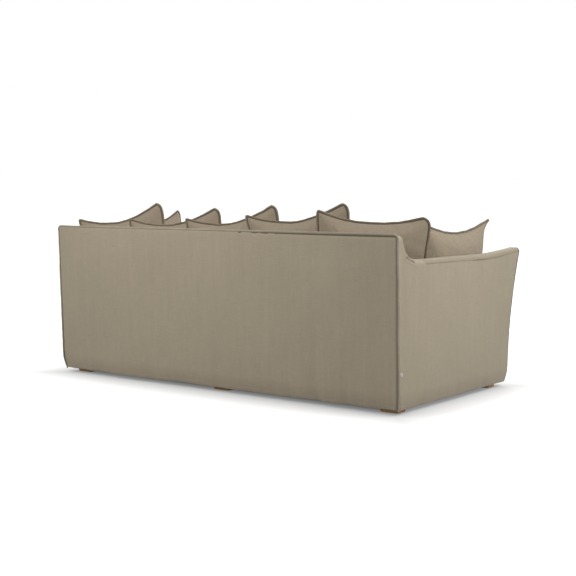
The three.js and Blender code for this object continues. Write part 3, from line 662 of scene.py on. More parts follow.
# Waves of stretched cloth, as waves() takes them, and how far they reach
long_waves = [(0.0016, 0.21, 0.45, 0), (0.0009, 0.09, 0.6, 1)]
pucker_waves = [(0.0007, 0.021, 0.3, 2), (0.0004, 0.009, 1, 3)]
hem_waves = [(0.0022, 0.13, 0.3, 4), (0.001, 0.05, 0.3, 5)]
slack_waves = [(1, 0.055, 0.12, 6)]
fullness = 0.0012
free_reach = 0.16
pucker_reach = 0.022
pucker_start = 0.004
slack_reach = 0.22
slack_height = 0.4
hem_reach = 0.09
held_at_seam = 0.02
far_from_seam = 0.2
far_from_stitch = 0.5

# Seams: the groove's width, which also spreads the painted seam shade, and how a faint seam's painted shade
# is set back and its groove eased
seam_spread = 0.0055
faint_seam = 0.009
faint_crease_share = 0.75

# Dart: a groove and the low welt beside it
dart_depth = 0.0032
dart_width = 0.004
welt_height = 0.0016
welt_place = 0.011
welt_width = 0.006

# Hem: the turned edge, the step where its doubled cloth ends and the groove above it
hem_turn = 0.021
hem_stitch = 0.0175
hem_step = 0.0012
hem_rise = 0.0006
hem_groove = 0.0003
hem_groove_width = 0.0016


def panel(name, points, facing, seed, flat, node=None, sewn="lrt", hem=True,
          rounded=None, calm=1.0, crease=0.0028, dart=None, groove=seam_spread, slack=0.0, finish=linen,
          faint_top=0.0):
    """Stretched cover panel through a grid of points, rows from the foot up and columns from left to right.

    To the smooth surface it adds long soft waves that die out at the seams, fine puckers that die out away
    from them, a groove at each seam and, over the hem, a doubled fold and its ripples. Its seam attribute
    paints shade along the seams, the dart and the hem's step. sewn names the edges with a seam: l, r, t or b.
    rounded gives the radius of the edges that turn a corner. crease and groove are the depth and the width of
    the groove, and groove also sets how wide the painted seam shade spreads; dart is each point's distance to
    a dart, and slack the height of the upright folds beside the seams near the foot. faint_top, from 0 to 1,
    eases the top seam's groove and lightens its painted shade line.
    flat, what the panel is cut from, is not used, and node is what it stands for.
    """
    normals = grid_normals(points, facing)
    across, up = run_lengths(points, 1), run_lengths(points, 0)
    distance = {"l": across, "r": across[:, -1:] - across, "b": up, "t": up[-1:] - up}
    along = {"l": up, "r": up, "b": across, "t": across}
    centred = across - across[:, -1:] / 2
    seam = np.full(across.shape, far_from_seam)
    # Distance to the nearest seam, where the linen paints shade; a faint top seam is set back so that its
    # painted shade is lighter.
    for edge in sewn:
        seam = np.minimum(seam, distance[edge] + (faint_seam * faint_top if edge == "t" else 0))
    inward = {"l": 1, "r": -1, "b": 1, "t": -1}
    for edge, radius in (rounded or {}).items():
        direction = unit(np.gradient(points, axis=1 if edge in "lr" else 0)) * inward[edge]
        points = softened(points, normals, direction, distance[edge], radius)

    free = eased(np.clip(seam / free_reach, 0, 1))
    height = calm * free * (waves(centred, up, long_waves, seed) + fullness)
    for edge in sewn:
        d = distance[edge]
        pucker = waves(along[edge], d, pucker_waves, seed)
        height = height + pucker * np.exp(-d / pucker_reach) * np.clip(d / pucker_start, 0, 1)
        depth = crease * (1 - faint_crease_share * faint_top) if edge == "t" else crease
        height = height - depth * np.exp(-(d / groove) ** 2)
    # Spreads the painted seam shade as wide as the groove.
    seam = seam * seam_spread / groove
    if dart is not None:
        welt = welt_height * np.exp(-((dart - welt_place) / welt_width) ** 2)
        height = height - dart_depth * np.exp(-(dart / dart_width) ** 2) + welt
        # Painted shade along the dart.
        seam = np.minimum(seam, dart)
    if slack:
        beside = np.exp(-seam / slack_reach) * np.exp(-up / slack_height) * np.clip(seam / held_at_seam, 0, 1)
        height = height + slack * beside * waves(centred, up, slack_waves, seed)
    if hem:
        ripple = waves(centred, up, hem_waves, seed)
        height = height + ripple * np.exp(-up / hem_reach) * np.clip(seam / held_at_seam, 0, 1)
        fold = 1 / (1 + np.exp(np.clip((up - hem_turn) / hem_step, -30, 30)))
        dip = hem_groove * np.exp(-((up - hem_turn - hem_groove_width) / hem_groove_width) ** 2)
        height = height + hem_rise * fold - dip
        # Painted shade along the step where the hem's doubled cloth ends.
        seam = np.minimum(seam, np.abs(up - hem_turn - hem_step) + seam_spread)
    points = points + normals * height[..., None]
    uv = np.stack([centred, up], -1)
    stitch = up - hem_stitch if hem else np.full(up.shape, far_from_stitch)
    obj = thicken(grid_object(name, points, facing, uv, seam, finish, stitch), cloth)
    declare(obj, FRAME_BODY, node)


back_corner = 0.015
front_corner = 0.005
deck_edge = 0.008
inner_corner = 0.01
back_half = float(side_reach(rear_reach(top_level), top_level))
inner_half = back_half - arm_thickness - gap
inner_edge_y = float(inside_face(top_level - edge_radius))
quarter_turn = np.linspace(0, math.pi / 2, 14)


def panel_rows(top_rows):
    """Shares of a panel's height, close together over the hem and towards the top."""
    return shares([0, 0.004, 0.05, 0.94, 1], [2, 18, top_rows, 12])[:, None]


top_line_from = 0.65
top_line_to = 0.1


def outer_back():
    """Outer back panel: straight across, its foot drawn in to the hem and its top corners rounded."""
    width = 2 * back_half
    u = shares([0, 0.014, 0.5, 0.986, 1], [18, 120, 120, 18])[None, :]
    share = 2 * u - 1
    in_corner = np.clip((np.abs(share) * width / 2 - width / 2 + back_corner) / back_corner, 0, 1)
    drop = back_corner * (1 - np.sqrt(1 - in_corner ** 2))
    z = lerp(hem_level, top_level - drop, panel_rows(90))
    y = rear_reach(z)
    points = np.stack([-share * side_reach(y, z), y, z], -1)
    faint = np.clip((top_line_from - share) / (top_line_from - top_line_to), 0, 1)
    panel("outer_back_panel", points, (0, 1, 0), 11, cut("outer back", width, back_height),
          "outer_back_cover", calm=2.0, crease=0.0045, groove=0.009,
          slack=0.006, faint_top=faint)


# How far up an arm's rounded edge its long seam lies, in radians: along the arm and in the scoop
seam_low = 0.12
seam_high = 1.25
seam_rise_start = 0.045
seam_rise_run = 0.05


def seam_angle(y):
    """How far up an arm's rounded edge its long seam lies: low along the arm, near the top in the scoop."""
    foot = rear_reach(top_level) - back_edge - scoop_run
    return lerp(seam_low, seam_high, eased(np.clip((y - foot + seam_rise_start) / seam_rise_run, 0, 1)))


arm_columns = shares([0, 0.006, 0.14, 0.98, 1], [5, 60, 110, 10])[None, :]
arm_top_y = lerp(rear_reach(top_level), -front_reach(arm_level), arm_columns)


def arm_point(sign, depth, z):
    """Points of an arm, by their depth inside its outer face and their height, in columns along the arm."""
    y = lerp(rear_reach(z) - skin, -(front_reach(z) - skin), arm_columns)
    return np.stack([sign * (side_reach(y, z) - depth), y, z], -1)


dart_from = 0.08
dart_to = 0.142
dart_rise = 0.016
dart_drop = 0.009


def outer_arm(side, sign):
    """Outer arm panel: up the flared outer face, then round the top edge as far as the seam."""
    z_face = lerp(hem_level, arm_top(arm_top_y) - edge_radius, panel_rows(80))
    angle = seam_angle(arm_top_y) * np.linspace(0, 1, 8)[1:, None]
    z = np.concatenate([z_face, arm_top(arm_top_y) - edge_radius * (1 - np.sin(angle))])
    points = arm_point(sign, np.concatenate([np.zeros_like(z_face), edge_radius * (1 - np.cos(angle))]), z)
    rear = float(rear_reach(top_level))
    dart = to_segment(points[..., 1], z, (rear - dart_from, arm_level + dart_rise),
                      (rear - dart_to, arm_level - dart_drop))
    panel(f"outer_arm_panel_{side}", points, (sign, 0, 0), 23 if sign < 0 else 29,
          cut("outer arm", hem_depth, arm_height),
          f"outer_arm_cover_{side}", sewn="lr", rounded={"r": front_corner}, calm=1.5, dart=dart, slack=0.003)


def inner_arm(side, sign):
    """Inner arm panel: from the seam over the rounded top, down the inner face to the deck."""
    r = edge_radius
    level = 0 * arm_columns
    angle = lerp(seam_angle(arm_top_y), math.pi / 2, np.linspace(0, 1, 9)[:, None])
    flat = np.linspace(0, 1, 5)[1:-1, None] + level
    turn = (math.pi / 2) * (1 - np.linspace(0, 1, 12)[:, None]) + level
    depth = np.concatenate([r * (1 - np.cos(angle)), lerp(r, arm_thickness - r, flat),
                            arm_thickness - r + r * np.cos(turn)])
    z = arm_top(arm_top_y) - np.concatenate([r * (1 - np.sin(angle)), 0 * flat, r * (1 - np.sin(turn))])
    z_down = lerp(z[-1:], deck_top + gap, np.linspace(0, 1, 50)[1:, None])
    depth = np.concatenate([depth, np.full_like(z_down, arm_thickness)])
    points = arm_point(sign, depth, np.concatenate([z, z_down]))
    panel(f"inner_arm_panel_{side}", points[::-1], (-sign, 0, 0.35), 37 if sign < 0 else 41,
          cut("inner arm", hem_depth, arm_height),
          f"inner_arm_cover_{side}", sewn="lr", hem=False, rounded={"r": front_corner}, calm=0.9,
          finish=shaded_arm_linen)


def arm_front(side, sign):
    """Front panel of an arm: its sides follow the flare and its top the arm's rounded section."""
    u = shares([0, 0.3, 0.7, 1], [14, 8, 14])[None, :]
    across = arm_thickness * u
    in_corner = np.maximum(0, edge_radius - np.minimum(across, arm_thickness - across))
    drop = edge_radius - np.sqrt(edge_radius ** 2 - in_corner ** 2)
    z = lerp(hem_level, arm_top(-front_reach(arm_level)) - drop, panel_rows(80))
    y = -front_reach(z) + 0 * u
    points = np.stack([sign * (side_reach(y, z) - across), y, z], -1)
    panel(f"arm_front_panel_{side}", points, (0, -1, 0), 53, cut("arm front", arm_thickness, arm_height),
          f"arm_front_cover_{side}",
          rounded=dict.fromkeys("ltr", front_corner), calm=0.3)


def front_panel():
    """Front panel between the arms, from the hem to the deck."""
    u = shares([0, 0.01, 0.99, 1], [6, 180, 6])[None, :]
    z = lerp(hem_level, deck_top, shares([0, 0.02, 0.2, 1], [2, 18, 24])[:, None])
    y = -front_reach(z)
    half = side_reach(y, z) - arm_thickness - gap
    points = np.stack([lerp(-half, half, u), y + 0 * u, z + 0 * u], -1)
    panel("front_panel", points, (0, -1, 0), 61, cut("front", 2 * seat_half, deck_top),
          "front_cover", rounded={"t": deck_edge})


def inside_line(rows):
    """Rounded front of the back's top edge and the leaning line from it down to the deck, as y and z."""
    z_down = np.linspace(top_level - edge_radius, deck_top + gap, rows)[1:]
    y = np.concatenate([inner_edge_y + edge_radius - edge_radius * np.sin(quarter_turn), inside_face(z_down)])
    return y, np.concatenate([top_level - edge_radius + edge_radius * np.cos(quarter_turn), z_down])


def inner_back():
    """Inner back panel: over the rounded top edge and down the leaning front to the deck."""
    y_inside, z_inside = inside_line(70)
    y_over = np.linspace(float(rear_reach(top_level)) - skin, inner_edge_y + edge_radius, 10)[:-1]
    y = np.concatenate([y_over, y_inside])[:, None]
    z = np.concatenate([np.full(len(y_over), top_level), z_inside])[:, None]
    u = shares([0, 0.01, 0.99, 1], [6, 240, 6])
    x = lerp(inner_half, -inner_half, u)[None, :] + 0 * y
    points = np.stack([x, y + 0 * x, z + 0 * x], -1)
    panel("inner_back_panel", points[::-1], (0, -1, 0.5), 71,
          cut("inner back", 2 * inner_half, back_height - deck_top),
          "inner_back_cover", hem=False, rounded={"l": inner_corner, "r": inner_corner}, finish=shaded_inner_linen)


gusset_inset = 0.0004


def back_gusset(side, sign):
    """End of the back above an arm: from the leaning front to the rear corner seam."""
    y_near, z = (line[:, None] for line in inside_line(40))
    u = np.linspace(0, 1, 16)[None, :]
    y = lerp(y_near, rear_reach(z) - skin, u)
    points = np.stack([np.full_like(y, sign * (inner_half - gusset_inset)), y, z + 0 * u], -1)
    tall = top_level - deck_top
    deepest = back_top_depth + tall * math.tan(back_lean)
    panel(f"back_gusset_{side}", points[::-1], (sign, 0, 0), 83, cut("gusset", deepest, tall),
          sewn="t", hem=False, calm=0.2)


# Flanges: two layers of cloth that stand out from a seam

flange_lean = 0.3
flange_stitch = 0.0035
flange_tail = 0.006
corner_flange_offset = 0.0006
corner_ruffle = 0.0016
top_ruffle = 0.0022

# Section of a doubled strip: shares of its width outwards and of half its thickness across
strip_out_shares = np.array([-0.6, 0, 0.35, 0.62, 0.85, 0.97, 1, 0.955, 1, 0.97, 0.85, 0.62, 0.35, 0, -0.6])
strip_over_shares = np.array([0.5, 0.6, 0.8, 1, 1, 0.8, 0.42, 0, -0.42, -0.8, -1, -1, -0.8, -0.6, -0.5])
strip_lie_waves = [(1, 0.055, 1, 0), (0.6, 0.024, 1, 1)]
strip_width_waves = [(0.08, 0.04, 1, 2)]
strip_lie_power = 1.3
# Seam distances on a strip's middle groove and at its foot: the linen darkens there as painted shade.
strip_groove_shade = 0.0015
strip_foot_shade = 0.0025
corner_waves = [(0.0012, 0.12, 1, 0), (0.0006, 0.04, 1, 1)]


def flange_rings(base, out, over, width, thickness, seed, closed_path, ruffle):
    """Sections of a doubled strip along a path, their cloth coordinates, seam distances and stitch distances.

    base, out and over are rows of points, of directions outwards and of directions across the strip. The
    section is a flat loop of 15 points with a rounded outer edge split by a shallow groove. Its lie and its
    width wander along the path by soft noise.
    """
    length = run_lengths(base[:, None, :], 0)[:, 0]
    wave_x, wave_y = length, length * 0 + 0.3
    if closed_path:
        loop = np.arange(len(base)) / len(base) * math.tau
        wave_x, wave_y = np.cos(loop) * length[-1] / math.tau, np.sin(loop) * length[-1] / math.tau
    lie = ruffle * waves(wave_x, wave_y, strip_lie_waves, seed)
    wide = width * (1 + waves(wave_x, wave_y, strip_width_waves, seed))
    r, side = strip_out_shares[None, :], strip_over_shares[None, :]
    outer = np.clip(r, 0, 1)
    rings = (base[:, None, :] + out[:, None, :] * (wide[:, None] * r)[..., None]
             + over[:, None, :] * (side * thickness / 2 + lie[:, None] * outer ** strip_lie_power)[..., None])
    u = np.broadcast_to(length[:, None], rings.shape[:2])
    v = np.broadcast_to(r * width, rings.shape[:2])
    # Painted shade in the strip's groove and where it meets the cloth it stands from.
    seam = np.where(np.abs(side) < 0.1, strip_groove_shade, strip_foot_shade + outer * width + 0 * u)
    return rings, np.stack([u, v], -1), seam, v - flange_stitch


def corner_ends(mask, steps):
    """Stations of a closed ring, its marked corners repeated, and each one's share within the repeats."""
    repeats = np.where(mask, steps, 1)
    index = np.repeat(np.arange(len(mask)), repeats)
    first = np.repeat(np.cumsum(repeats) - repeats, repeats)
    place = np.arange(len(index)) - first
    return index, np.where(mask[index], place / (steps - 1), 0.5)


def sew_flange(name, node, base, out, over, seed, finish, ruffle):
    """Flange of the frame's cover, along a path of points."""
    rings, uv, seam, stitch = flange_rings(base, out, np.broadcast_to(over, base.shape), flange_width,
                                           flange_thickness, seed, False, ruffle)
    declare(swept(name, rings, finish, uv, seam, False, stitch), FRAME_BODY, node)


def corner_flange(side, sign):
    """Flange down a rear corner, from the rounded top corner past the hem to its open tail."""
    z = np.linspace(top_level - back_corner, hem_level - flange_tail, 150)
    y = rear_reach(z) - flange_set_back - flange_thickness / 2
    base = np.stack([sign * (side_reach(y, z) + gap), y, z], -1)
    base[:, 0] += sign * (waves(z, 0 * z, corner_waves, 91) + corner_flange_offset)
    out = np.broadcast_to(unit(np.array([sign * 1.0, -flange_lean, 0])), base.shape)
    sew_flange(f"corner_flange_{side}", f"rear_corner_flange_{side}", base, out,
               unit(np.array([sign * flange_lean, 1.0, 0])), 93 if sign < 0 else 95, lit_flange_linen,
               corner_ruffle)


def top_flange():
    """Flange along the top of the back, turning down round both corners."""
    turn = np.linspace(math.pi / 2, 0, 14)
    straight = back_half - back_corner
    radius = back_corner + gap
    line = np.linspace(straight, -straight, 260)[1:-1]
    x = np.concatenate([straight + radius * np.sin(turn), line, -straight - radius * np.sin(turn[::-1])])
    z = np.concatenate([top_level - back_corner + radius * np.cos(turn), np.full(len(line), top_level + gap),
                        top_level - back_corner + radius * np.cos(turn[::-1])])
    angle = np.concatenate([turn, np.zeros(len(line)), -turn[::-1]])
    out = np.stack([np.sin(angle), 0 * angle, np.cos(angle)], -1)
    base = np.stack([x, rear_reach(z) - flange_set_back - flange_thickness / 2, z], -1)
    sew_flange("top_flange", "back_top_flange", base, out, np.array([0, 1.0, 0]), 97, linen,
               top_ruffle)


# Loose cushions: rounds of the settling, the cloth solver's settings and the pillow's start and forms

settle_rounds = 6
slump_rounds = 4
cloth_solver = {"quality": 3, "mass": 0.25, "tension_stiffness": 18, "compression_stiffness": 18,
                "shear_stiffness": 6}
pillow_cells = 70
pillow_frames = 18
pillow_pressure = 5.0
pillow_bending = 0.35
pillow_flange = 0.009
pillow_ruffle = 0.0022
start_half_thickness = 0.030
start_power = 4
start_fullness = 0.7
dent_waves = [(0.30, 0.35, 1, 0), (0.16, 0.13, 1, 1)]
bend_waves = [(0.0025, 0.25, 1, 2)]
corner_power = 22
corner_ear = 0.007
ear_side_power = 5
ear_top_power = 3
swell_power = 3
top_hold_power = 14
foot_hold_power = 0.5
back_sheet_shift = 0.7
plane_share = 0.16
swell_share = 0.75
corner_steps = 7


def rotation(axis, angle):
    """Matrix that turns about a row axis."""
    c, s = math.cos(angle), math.sin(angle)
    i, j = {"X": (1, 2), "Y": (2, 0), "Z": (0, 1)}[axis]
    matrix = np.eye(3)
    matrix[i, i], matrix[i, j], matrix[j, i], matrix[j, j] = c, -s, s, c
    return matrix


def cushion_form(a, b, face, width, height):
    """Loose cushion standing and facing along Y: crowned both ways, a flat flange all round, sides drawn in
    between pointed corners and a top edge that sags."""
    fill = 1
    for share, size in ((a, width), (b, height)):
        inner = 1 - 2 * cushion_flange / size
        fill = fill * (1 - np.clip(np.abs(share) / inner, 0, 1) ** cushion_power)
    crown = cushion_thickness / 2 * fill ** cushion_fullness
    x = a * (width / 2 - cushion_draw_in * (1 - b * b) * np.abs(a))
    sag = np.where(b > 0, cushion_sag * b * (1 - np.abs(a) ** cushion_sag_power), 0)
    z = b * (height / 2 - cushion_draw_in * (1 - a * a) * np.abs(b)) - sag
    return np.stack([x, face * (crown + cushion_flange_thickness / 2), z], -1)


def cushion_steps():
    """Shares across the frame's cushion, with one step over each flange."""
    inside = np.array([0, 0.07, 0.17, 0.32, 0.5, 0.68, 0.83, 0.93, 1])
    flange_share = cushion_flange / cushion_width
    return np.concatenate([[0], lerp(flange_share, 1 - flange_share, inside), [1]])


def stand(width, height, turn, start, wall_gap, to_wall, down):
    """Where the frame's cushion comes to stand: its place, and how far each column's foot is let down.

    The turned form is moved back to its wall and down to the seat, clear of both, and then its foot is let
    down onto the straight line that just clears the seat.
    """
    steps = cushion_steps()
    a, b = np.meshgrid(2 * steps - 1, 2 * steps - 1)
    points = np.stack([cushion_form(a, b, face, width, height) for face in (1, -1)]) @ turn.T + start
    place = start.copy()
    below = lambda p: p[..., 2] - seat_top(p[..., 0], np.maximum(p[..., 1], seat_middle_y))
    for _ in range(settle_rounds):
        shift = (wall_gap(points).min() - cushion_clearance) * to_wall
        points, place = points + shift, place + shift
        lower = np.array([0, 0, gap - below(points).min()])
        points, place = points + lower, place + lower
    total = np.zeros(len(steps))
    for _ in range(slump_rounds):
        foot = points[:, 0]
        support = seat_top(foot[..., 0], np.maximum(foot[..., 1], seat_middle_y)).max(0)
        chord = lerp(support[0], support[-1], steps)
        drop = foot[..., 2].min(0) - chord - (support - chord).max() - gap
        lowered = drop[None, None, :] * (1 - steps[None, :, None]) ** slump_power
        points = points + lowered[..., None] * down
        total += drop
    return place, total


def blown_up(name, verts, faces, pressure, frames, bending):
    """Cloth solver's shape of a closed mesh under pressure, with no weight: its points after some frames."""
    mesh = bpy.data.meshes.new(name)
    mesh.from_pydata(verts.tolist(), [], faces)
    obj = bpy.data.objects.new(name, mesh)
    bpy.context.scene.collection.objects.link(obj)
    solver = obj.modifiers.new("Cloth", "CLOTH")
    settings = solver.settings
    given = {**cloth_solver, "bending_stiffness": bending, "use_pressure": True,
             "uniform_pressure_force": pressure}
    for key, value in given.items():
        setattr(settings, key, value)
    settings.effector_weights.gravity = 0
    solver.collision_settings.use_collision = False
    solver.point_cache.frame_start = 1
    solver.point_cache.frame_end = frames
    scene = bpy.context.scene
    for step in range(1, frames + 1):
        scene.frame_set(step)
    shaped = obj.evaluated_get(bpy.context.evaluated_depsgraph_get()).to_mesh()
    points = np.zeros(len(shaped.vertices) * 3)
    shaped.vertices.foreach_get("co", points)
    bpy.data.objects.remove(obj)
    scene.frame_set(1)
    return points.reshape(-1, 3)


def pillow_sheets(cells):
    """Two square sheets sewn along their edges: each point's a, b and face, the quads and the ring."""
    line = np.linspace(-1, 1, cells + 1)
    a, b = np.meshgrid(line, line)
    n = cells + 1
    front = np.arange(n * n).reshape(n, n)
    inside = np.zeros((n, n), bool)
    inside[1:-1, 1:-1] = True
    back = front.copy()
    back[inside] = n * n + np.arange(inside.sum())
    quads = []
    for index, turned in ((front, True), (back, False)):
        corners = np.stack([index[:-1, :-1], index[:-1, 1:], index[1:, 1:], index[1:, :-1]],
                           -1).reshape(-1, 4)
        quads += (corners[:, ::-1] if turned else corners).tolist()
    ring = np.concatenate([front[0, :-1], front[:-1, -1], front[-1, :0:-1], front[:0:-1, 0]])
    shares_a = np.concatenate([a.ravel(), a[inside]])
    shares_b = np.concatenate([b.ravel(), b[inside]])
    face = np.concatenate([np.where(inside, 1, 0).ravel(), np.full(inside.sum(), -1)])
    return shares_a, shares_b, face, quads, ring


pillow_a, pillow_b, pillow_face, pillow_quads, pillow_ring = pillow_sheets(pillow_cells)


def pillow_shape(seed):
    """Unit pillow, from -1 to 1 across and up and along its thickness: sewn flat and blown up by the solver.

    It starts a little full, with soft random dents, so that it wrinkles in its own way. The cut's outline
    holds it in its plane, so most of the shape there is the crowned form's own.
    """
    a, b, face = pillow_a, pillow_b, pillow_face
    half = (cushion_width - 2 * pillow_flange) / 2
    draw = cushion_draw_in / half
    crown = ((1 - np.abs(a) ** cushion_power) * (1 - np.abs(b) ** cushion_power)) ** cushion_fullness
    form = np.stack([a * (1 - draw * (1 - b * b) * np.abs(a)), face * crown,
                     b * (1 - draw * (1 - a * a) * np.abs(b))], -1)
    fill = ((1 - a ** start_power) * (1 - b ** start_power)) ** start_fullness
    dent = waves(a, b, dent_waves, seed, 1)
    start = np.stack([a * half, face * start_half_thickness * fill * dent, b * half], -1)
    start[:, 1] += waves(a, b, bend_waves, seed)
    points = blown_up("pillow", start, pillow_quads, pillow_pressure, pillow_frames, pillow_bending)
    points -= (points.max(0) + points.min(0)) / 2
    points /= np.ptp(points, axis=0) / 2
    return lerp(form, points, np.array([plane_share, swell_share, plane_share]))


def loose_cushion(name, shape, width, height_share, turn, start, wall_gap, to_wall, down, swell_side, swell,
                  sag_share=1.0):
    """Loose cushion and its flange, stood where the frame's own stands.

    Its corners are rounded by a power of the product of both shares, and one side swells or is drawn in.
    """
    height = cushion_height * height_share
    place, let_down = stand(width, height, turn, start, wall_gap, to_wall, down)
    steps = cushion_steps()
    half = np.array([width / 2, 1, height / 2])
    inner = np.array([width / 2 - pillow_flange, cushion_thickness / 2, height / 2 - pillow_flange])

    def placed(points, a, b):
        """Sags the top edge, then turns and places the points and lets the foot down."""
        to_end = np.clip(np.abs(a), 0, 1) ** cushion_sag_power
        sag = np.where(b > 0, cushion_sag * b * (1 - to_end), 0) * sag_share
        points = points - sag[..., None] * np.array([0, 0, 1])
        lowered = np.interp((a + 1) / 2, steps, let_down) * (1 - np.clip((b + 1) / 2, 0, 1)) ** slump_power
        return points @ turn.T + place + lowered[..., None] * down

    flat = shape * inner
    near_corner = np.abs(pillow_a * pillow_b) ** corner_power / (2 * corner_power + 1)
    flat[:, 0] -= near_corner * pillow_a * inner[0]
    flat[:, 2] -= near_corner * pillow_b * inner[2]
    to_side = np.clip(pillow_a * swell_side, 0, 1) ** swell_power
    flat[:, 2] += corner_ear * np.abs(pillow_a) ** ear_side_power * np.clip(pillow_b, 0, 1) ** ear_top_power
    below_top = np.where(pillow_b > 0, 1 - np.abs(pillow_b) ** top_hold_power,
                         (1 - pillow_b ** 2) ** foot_hold_power)
    flat[:, 0] += swell_side * swell * to_side * below_top
    cut = np.stack([pillow_a, 0 * pillow_a, pillow_b], -1) * inner / half
    points = placed(flat, cut[:, 0], cut[:, 2])
    # Distance to the flange's seam: the linen darkens towards it as painted shade.
    seam = np.minimum(1 - np.abs(pillow_a), 1 - np.abs(pillow_b)) * width / 2
    uv = np.stack([pillow_a * inner[0] + back_sheet_shift * (pillow_face < 0), pillow_b * inner[2]], -1)
    pad = new_object(f"{name}_pad", points, pillow_quads, uv, seam, shaded_cushion_linen)
    finer(pad)

    corners = np.minimum(np.abs(pillow_a[pillow_ring]), np.abs(pillow_b[pillow_ring])) > 0.999
    index, share = corner_ends(corners, corner_steps)
    ring = flat[pillow_ring] * np.array([1, 0, 1])
    edge = np.roll(ring, -1, 0) - ring
    normal = unit(np.stack([edge[:, 2], 0 * edge[:, 0], -edge[:, 0]], -1))
    normal *= np.sign((ring * normal).sum(-1).mean())
    out = unit(lerp(np.roll(normal, 1, 0)[index], normal[index], share[:, None]))
    over = np.broadcast_to(np.array([0, 1.0, 0]), out.shape)
    base = flat[pillow_ring][index]
    seed = sum(map(ord, name))
    rings, uv, seam, stitch = flange_rings(base, out, over, pillow_flange, cushion_flange_thickness, seed,
                                           True, pillow_ruffle)
    beyond = (rings - base[:, None]) / half
    ring_cut = cut[pillow_ring][index][:, None]
    rings = placed(rings, ring_cut[..., 0] + beyond[..., 0], ring_cut[..., 2] + beyond[..., 2])
    rim = swept(f"{name}_flange", rings, shaded_rim_linen, uv, seam, True, stitch)
    declare(pad, name, name)
    declare(rim, name)


back_cushions = [
    {"place_share": -0.791, "turn_deg": 28, "tilt_deg": -6, "height_share": 1.05, "swell": 0.034,
     "sag_share": 0.5},
    {"place_share": -0.446, "turn_deg": 18, "tilt_deg": 5.4, "height_share": 1.064, "swell": 0.025},
    {"place_share": -0.053, "turn_deg": 12, "tilt_deg": 7, "height_share": 1.021, "swell": 0.025},
    {"place_share": 0.352, "turn_deg": 18, "tilt_deg": 5.2, "height_share": 1.008, "swell": 0.025},
    {"place_share": 0.72, "turn_deg": 15, "tilt_deg": 9.3, "height_share": 0.998, "swell": 0.026},
]
arm_cushions = [
    {"side": "left", "sign": -1, "place_share": -0.324, "turn_deg": 4, "tilt_deg": 1.2, "height_share": 0.98,
     "swell": -0.03},
    {"side": "right", "sign": 1, "place_share": -0.125, "turn_deg": 4, "tilt_deg": 7, "height_share": 0.922,
     "swell": 0.02},
]


def back_wall(points):
    """Gap to the back's inner face, below its top."""
    y, z = points[..., 1], points[..., 2]
    return np.where(z < top_level, inside_face(z) - y, np.inf)


def arm_wall(sign):
    """Gap to an arm's inner face, below its top."""
    def gap_to(points):
        x, y, z = points[..., 0], points[..., 1], points[..., 2]
        return np.where(z < arm_top(y), side_reach(y, z) - arm_thickness - sign * x, np.inf)
    return gap_to


def all_cushions():
    """Five cushions along the back and one against each arm, cut alike and each blown up in its own way."""
    shapes = [pillow_shape(200 + 10 * k) for k in range(7)]
    stand_level = seat_level + cushion_height
    for k, c in enumerate(back_cushions):
        turn = rotation("X", -back_lean) @ rotation("Z", math.radians(c["turn_deg"])) \
            @ rotation("Y", math.radians(c["tilt_deg"]))
        loose_cushion(f"back_cushion_{k + 1}", shapes[k], cushion_width, c["height_share"], turn,
                      np.array([c["place_share"] * seat_half, 0, stand_level]), back_wall,
                      np.array([0.0, 1, 0]), np.array([0, -math.tan(back_lean), -1]), -1, c["swell"],
                      c.get("sag_share", 1.0))
    for k, c in enumerate(arm_cushions):
        sign = c["sign"]
        turn = rotation("Y", sign * arm_cushion_lean) \
            @ rotation("Z", sign * (math.pi / 2 + math.radians(c["turn_deg"]))) \
            @ rotation("Y", sign * math.radians(c["tilt_deg"]))
        loose_cushion(f"arm_cushion_{c['side']}", shapes[5 + k], arm_cushion_width, c["height_share"], turn,
                      np.array([0, c["place_share"] * seat_depth / 2, stand_level]), arm_wall(sign),
                      np.array([float(sign), 0, 0]), np.array([-sign * math.tan(arm_cushion_lean), 0, -1]),
                      -sign, c["swell"])


# Seat cushion: its grid, the cloth solver's part and its flanges

seat_columns = 168
seat_rows = 84
seat_bunching = 0.25
seat_corner_power = 6
band_rows = 12
band_fullness = 1.2
seat_waves = [(0.0035, 0.17, 1, 0), (0.0018, 0.07, 1, 1)]
seat_start_drop = 0.006
seat_pressure = 3.0
seat_frames = 12
seat_bending = 0.6
seat_most_moved = 0.016
seat_flange_width = 0.007
seat_flange_thickness = 0.0034
seat_ruffle = 0.0009
inside_seam = 0.05


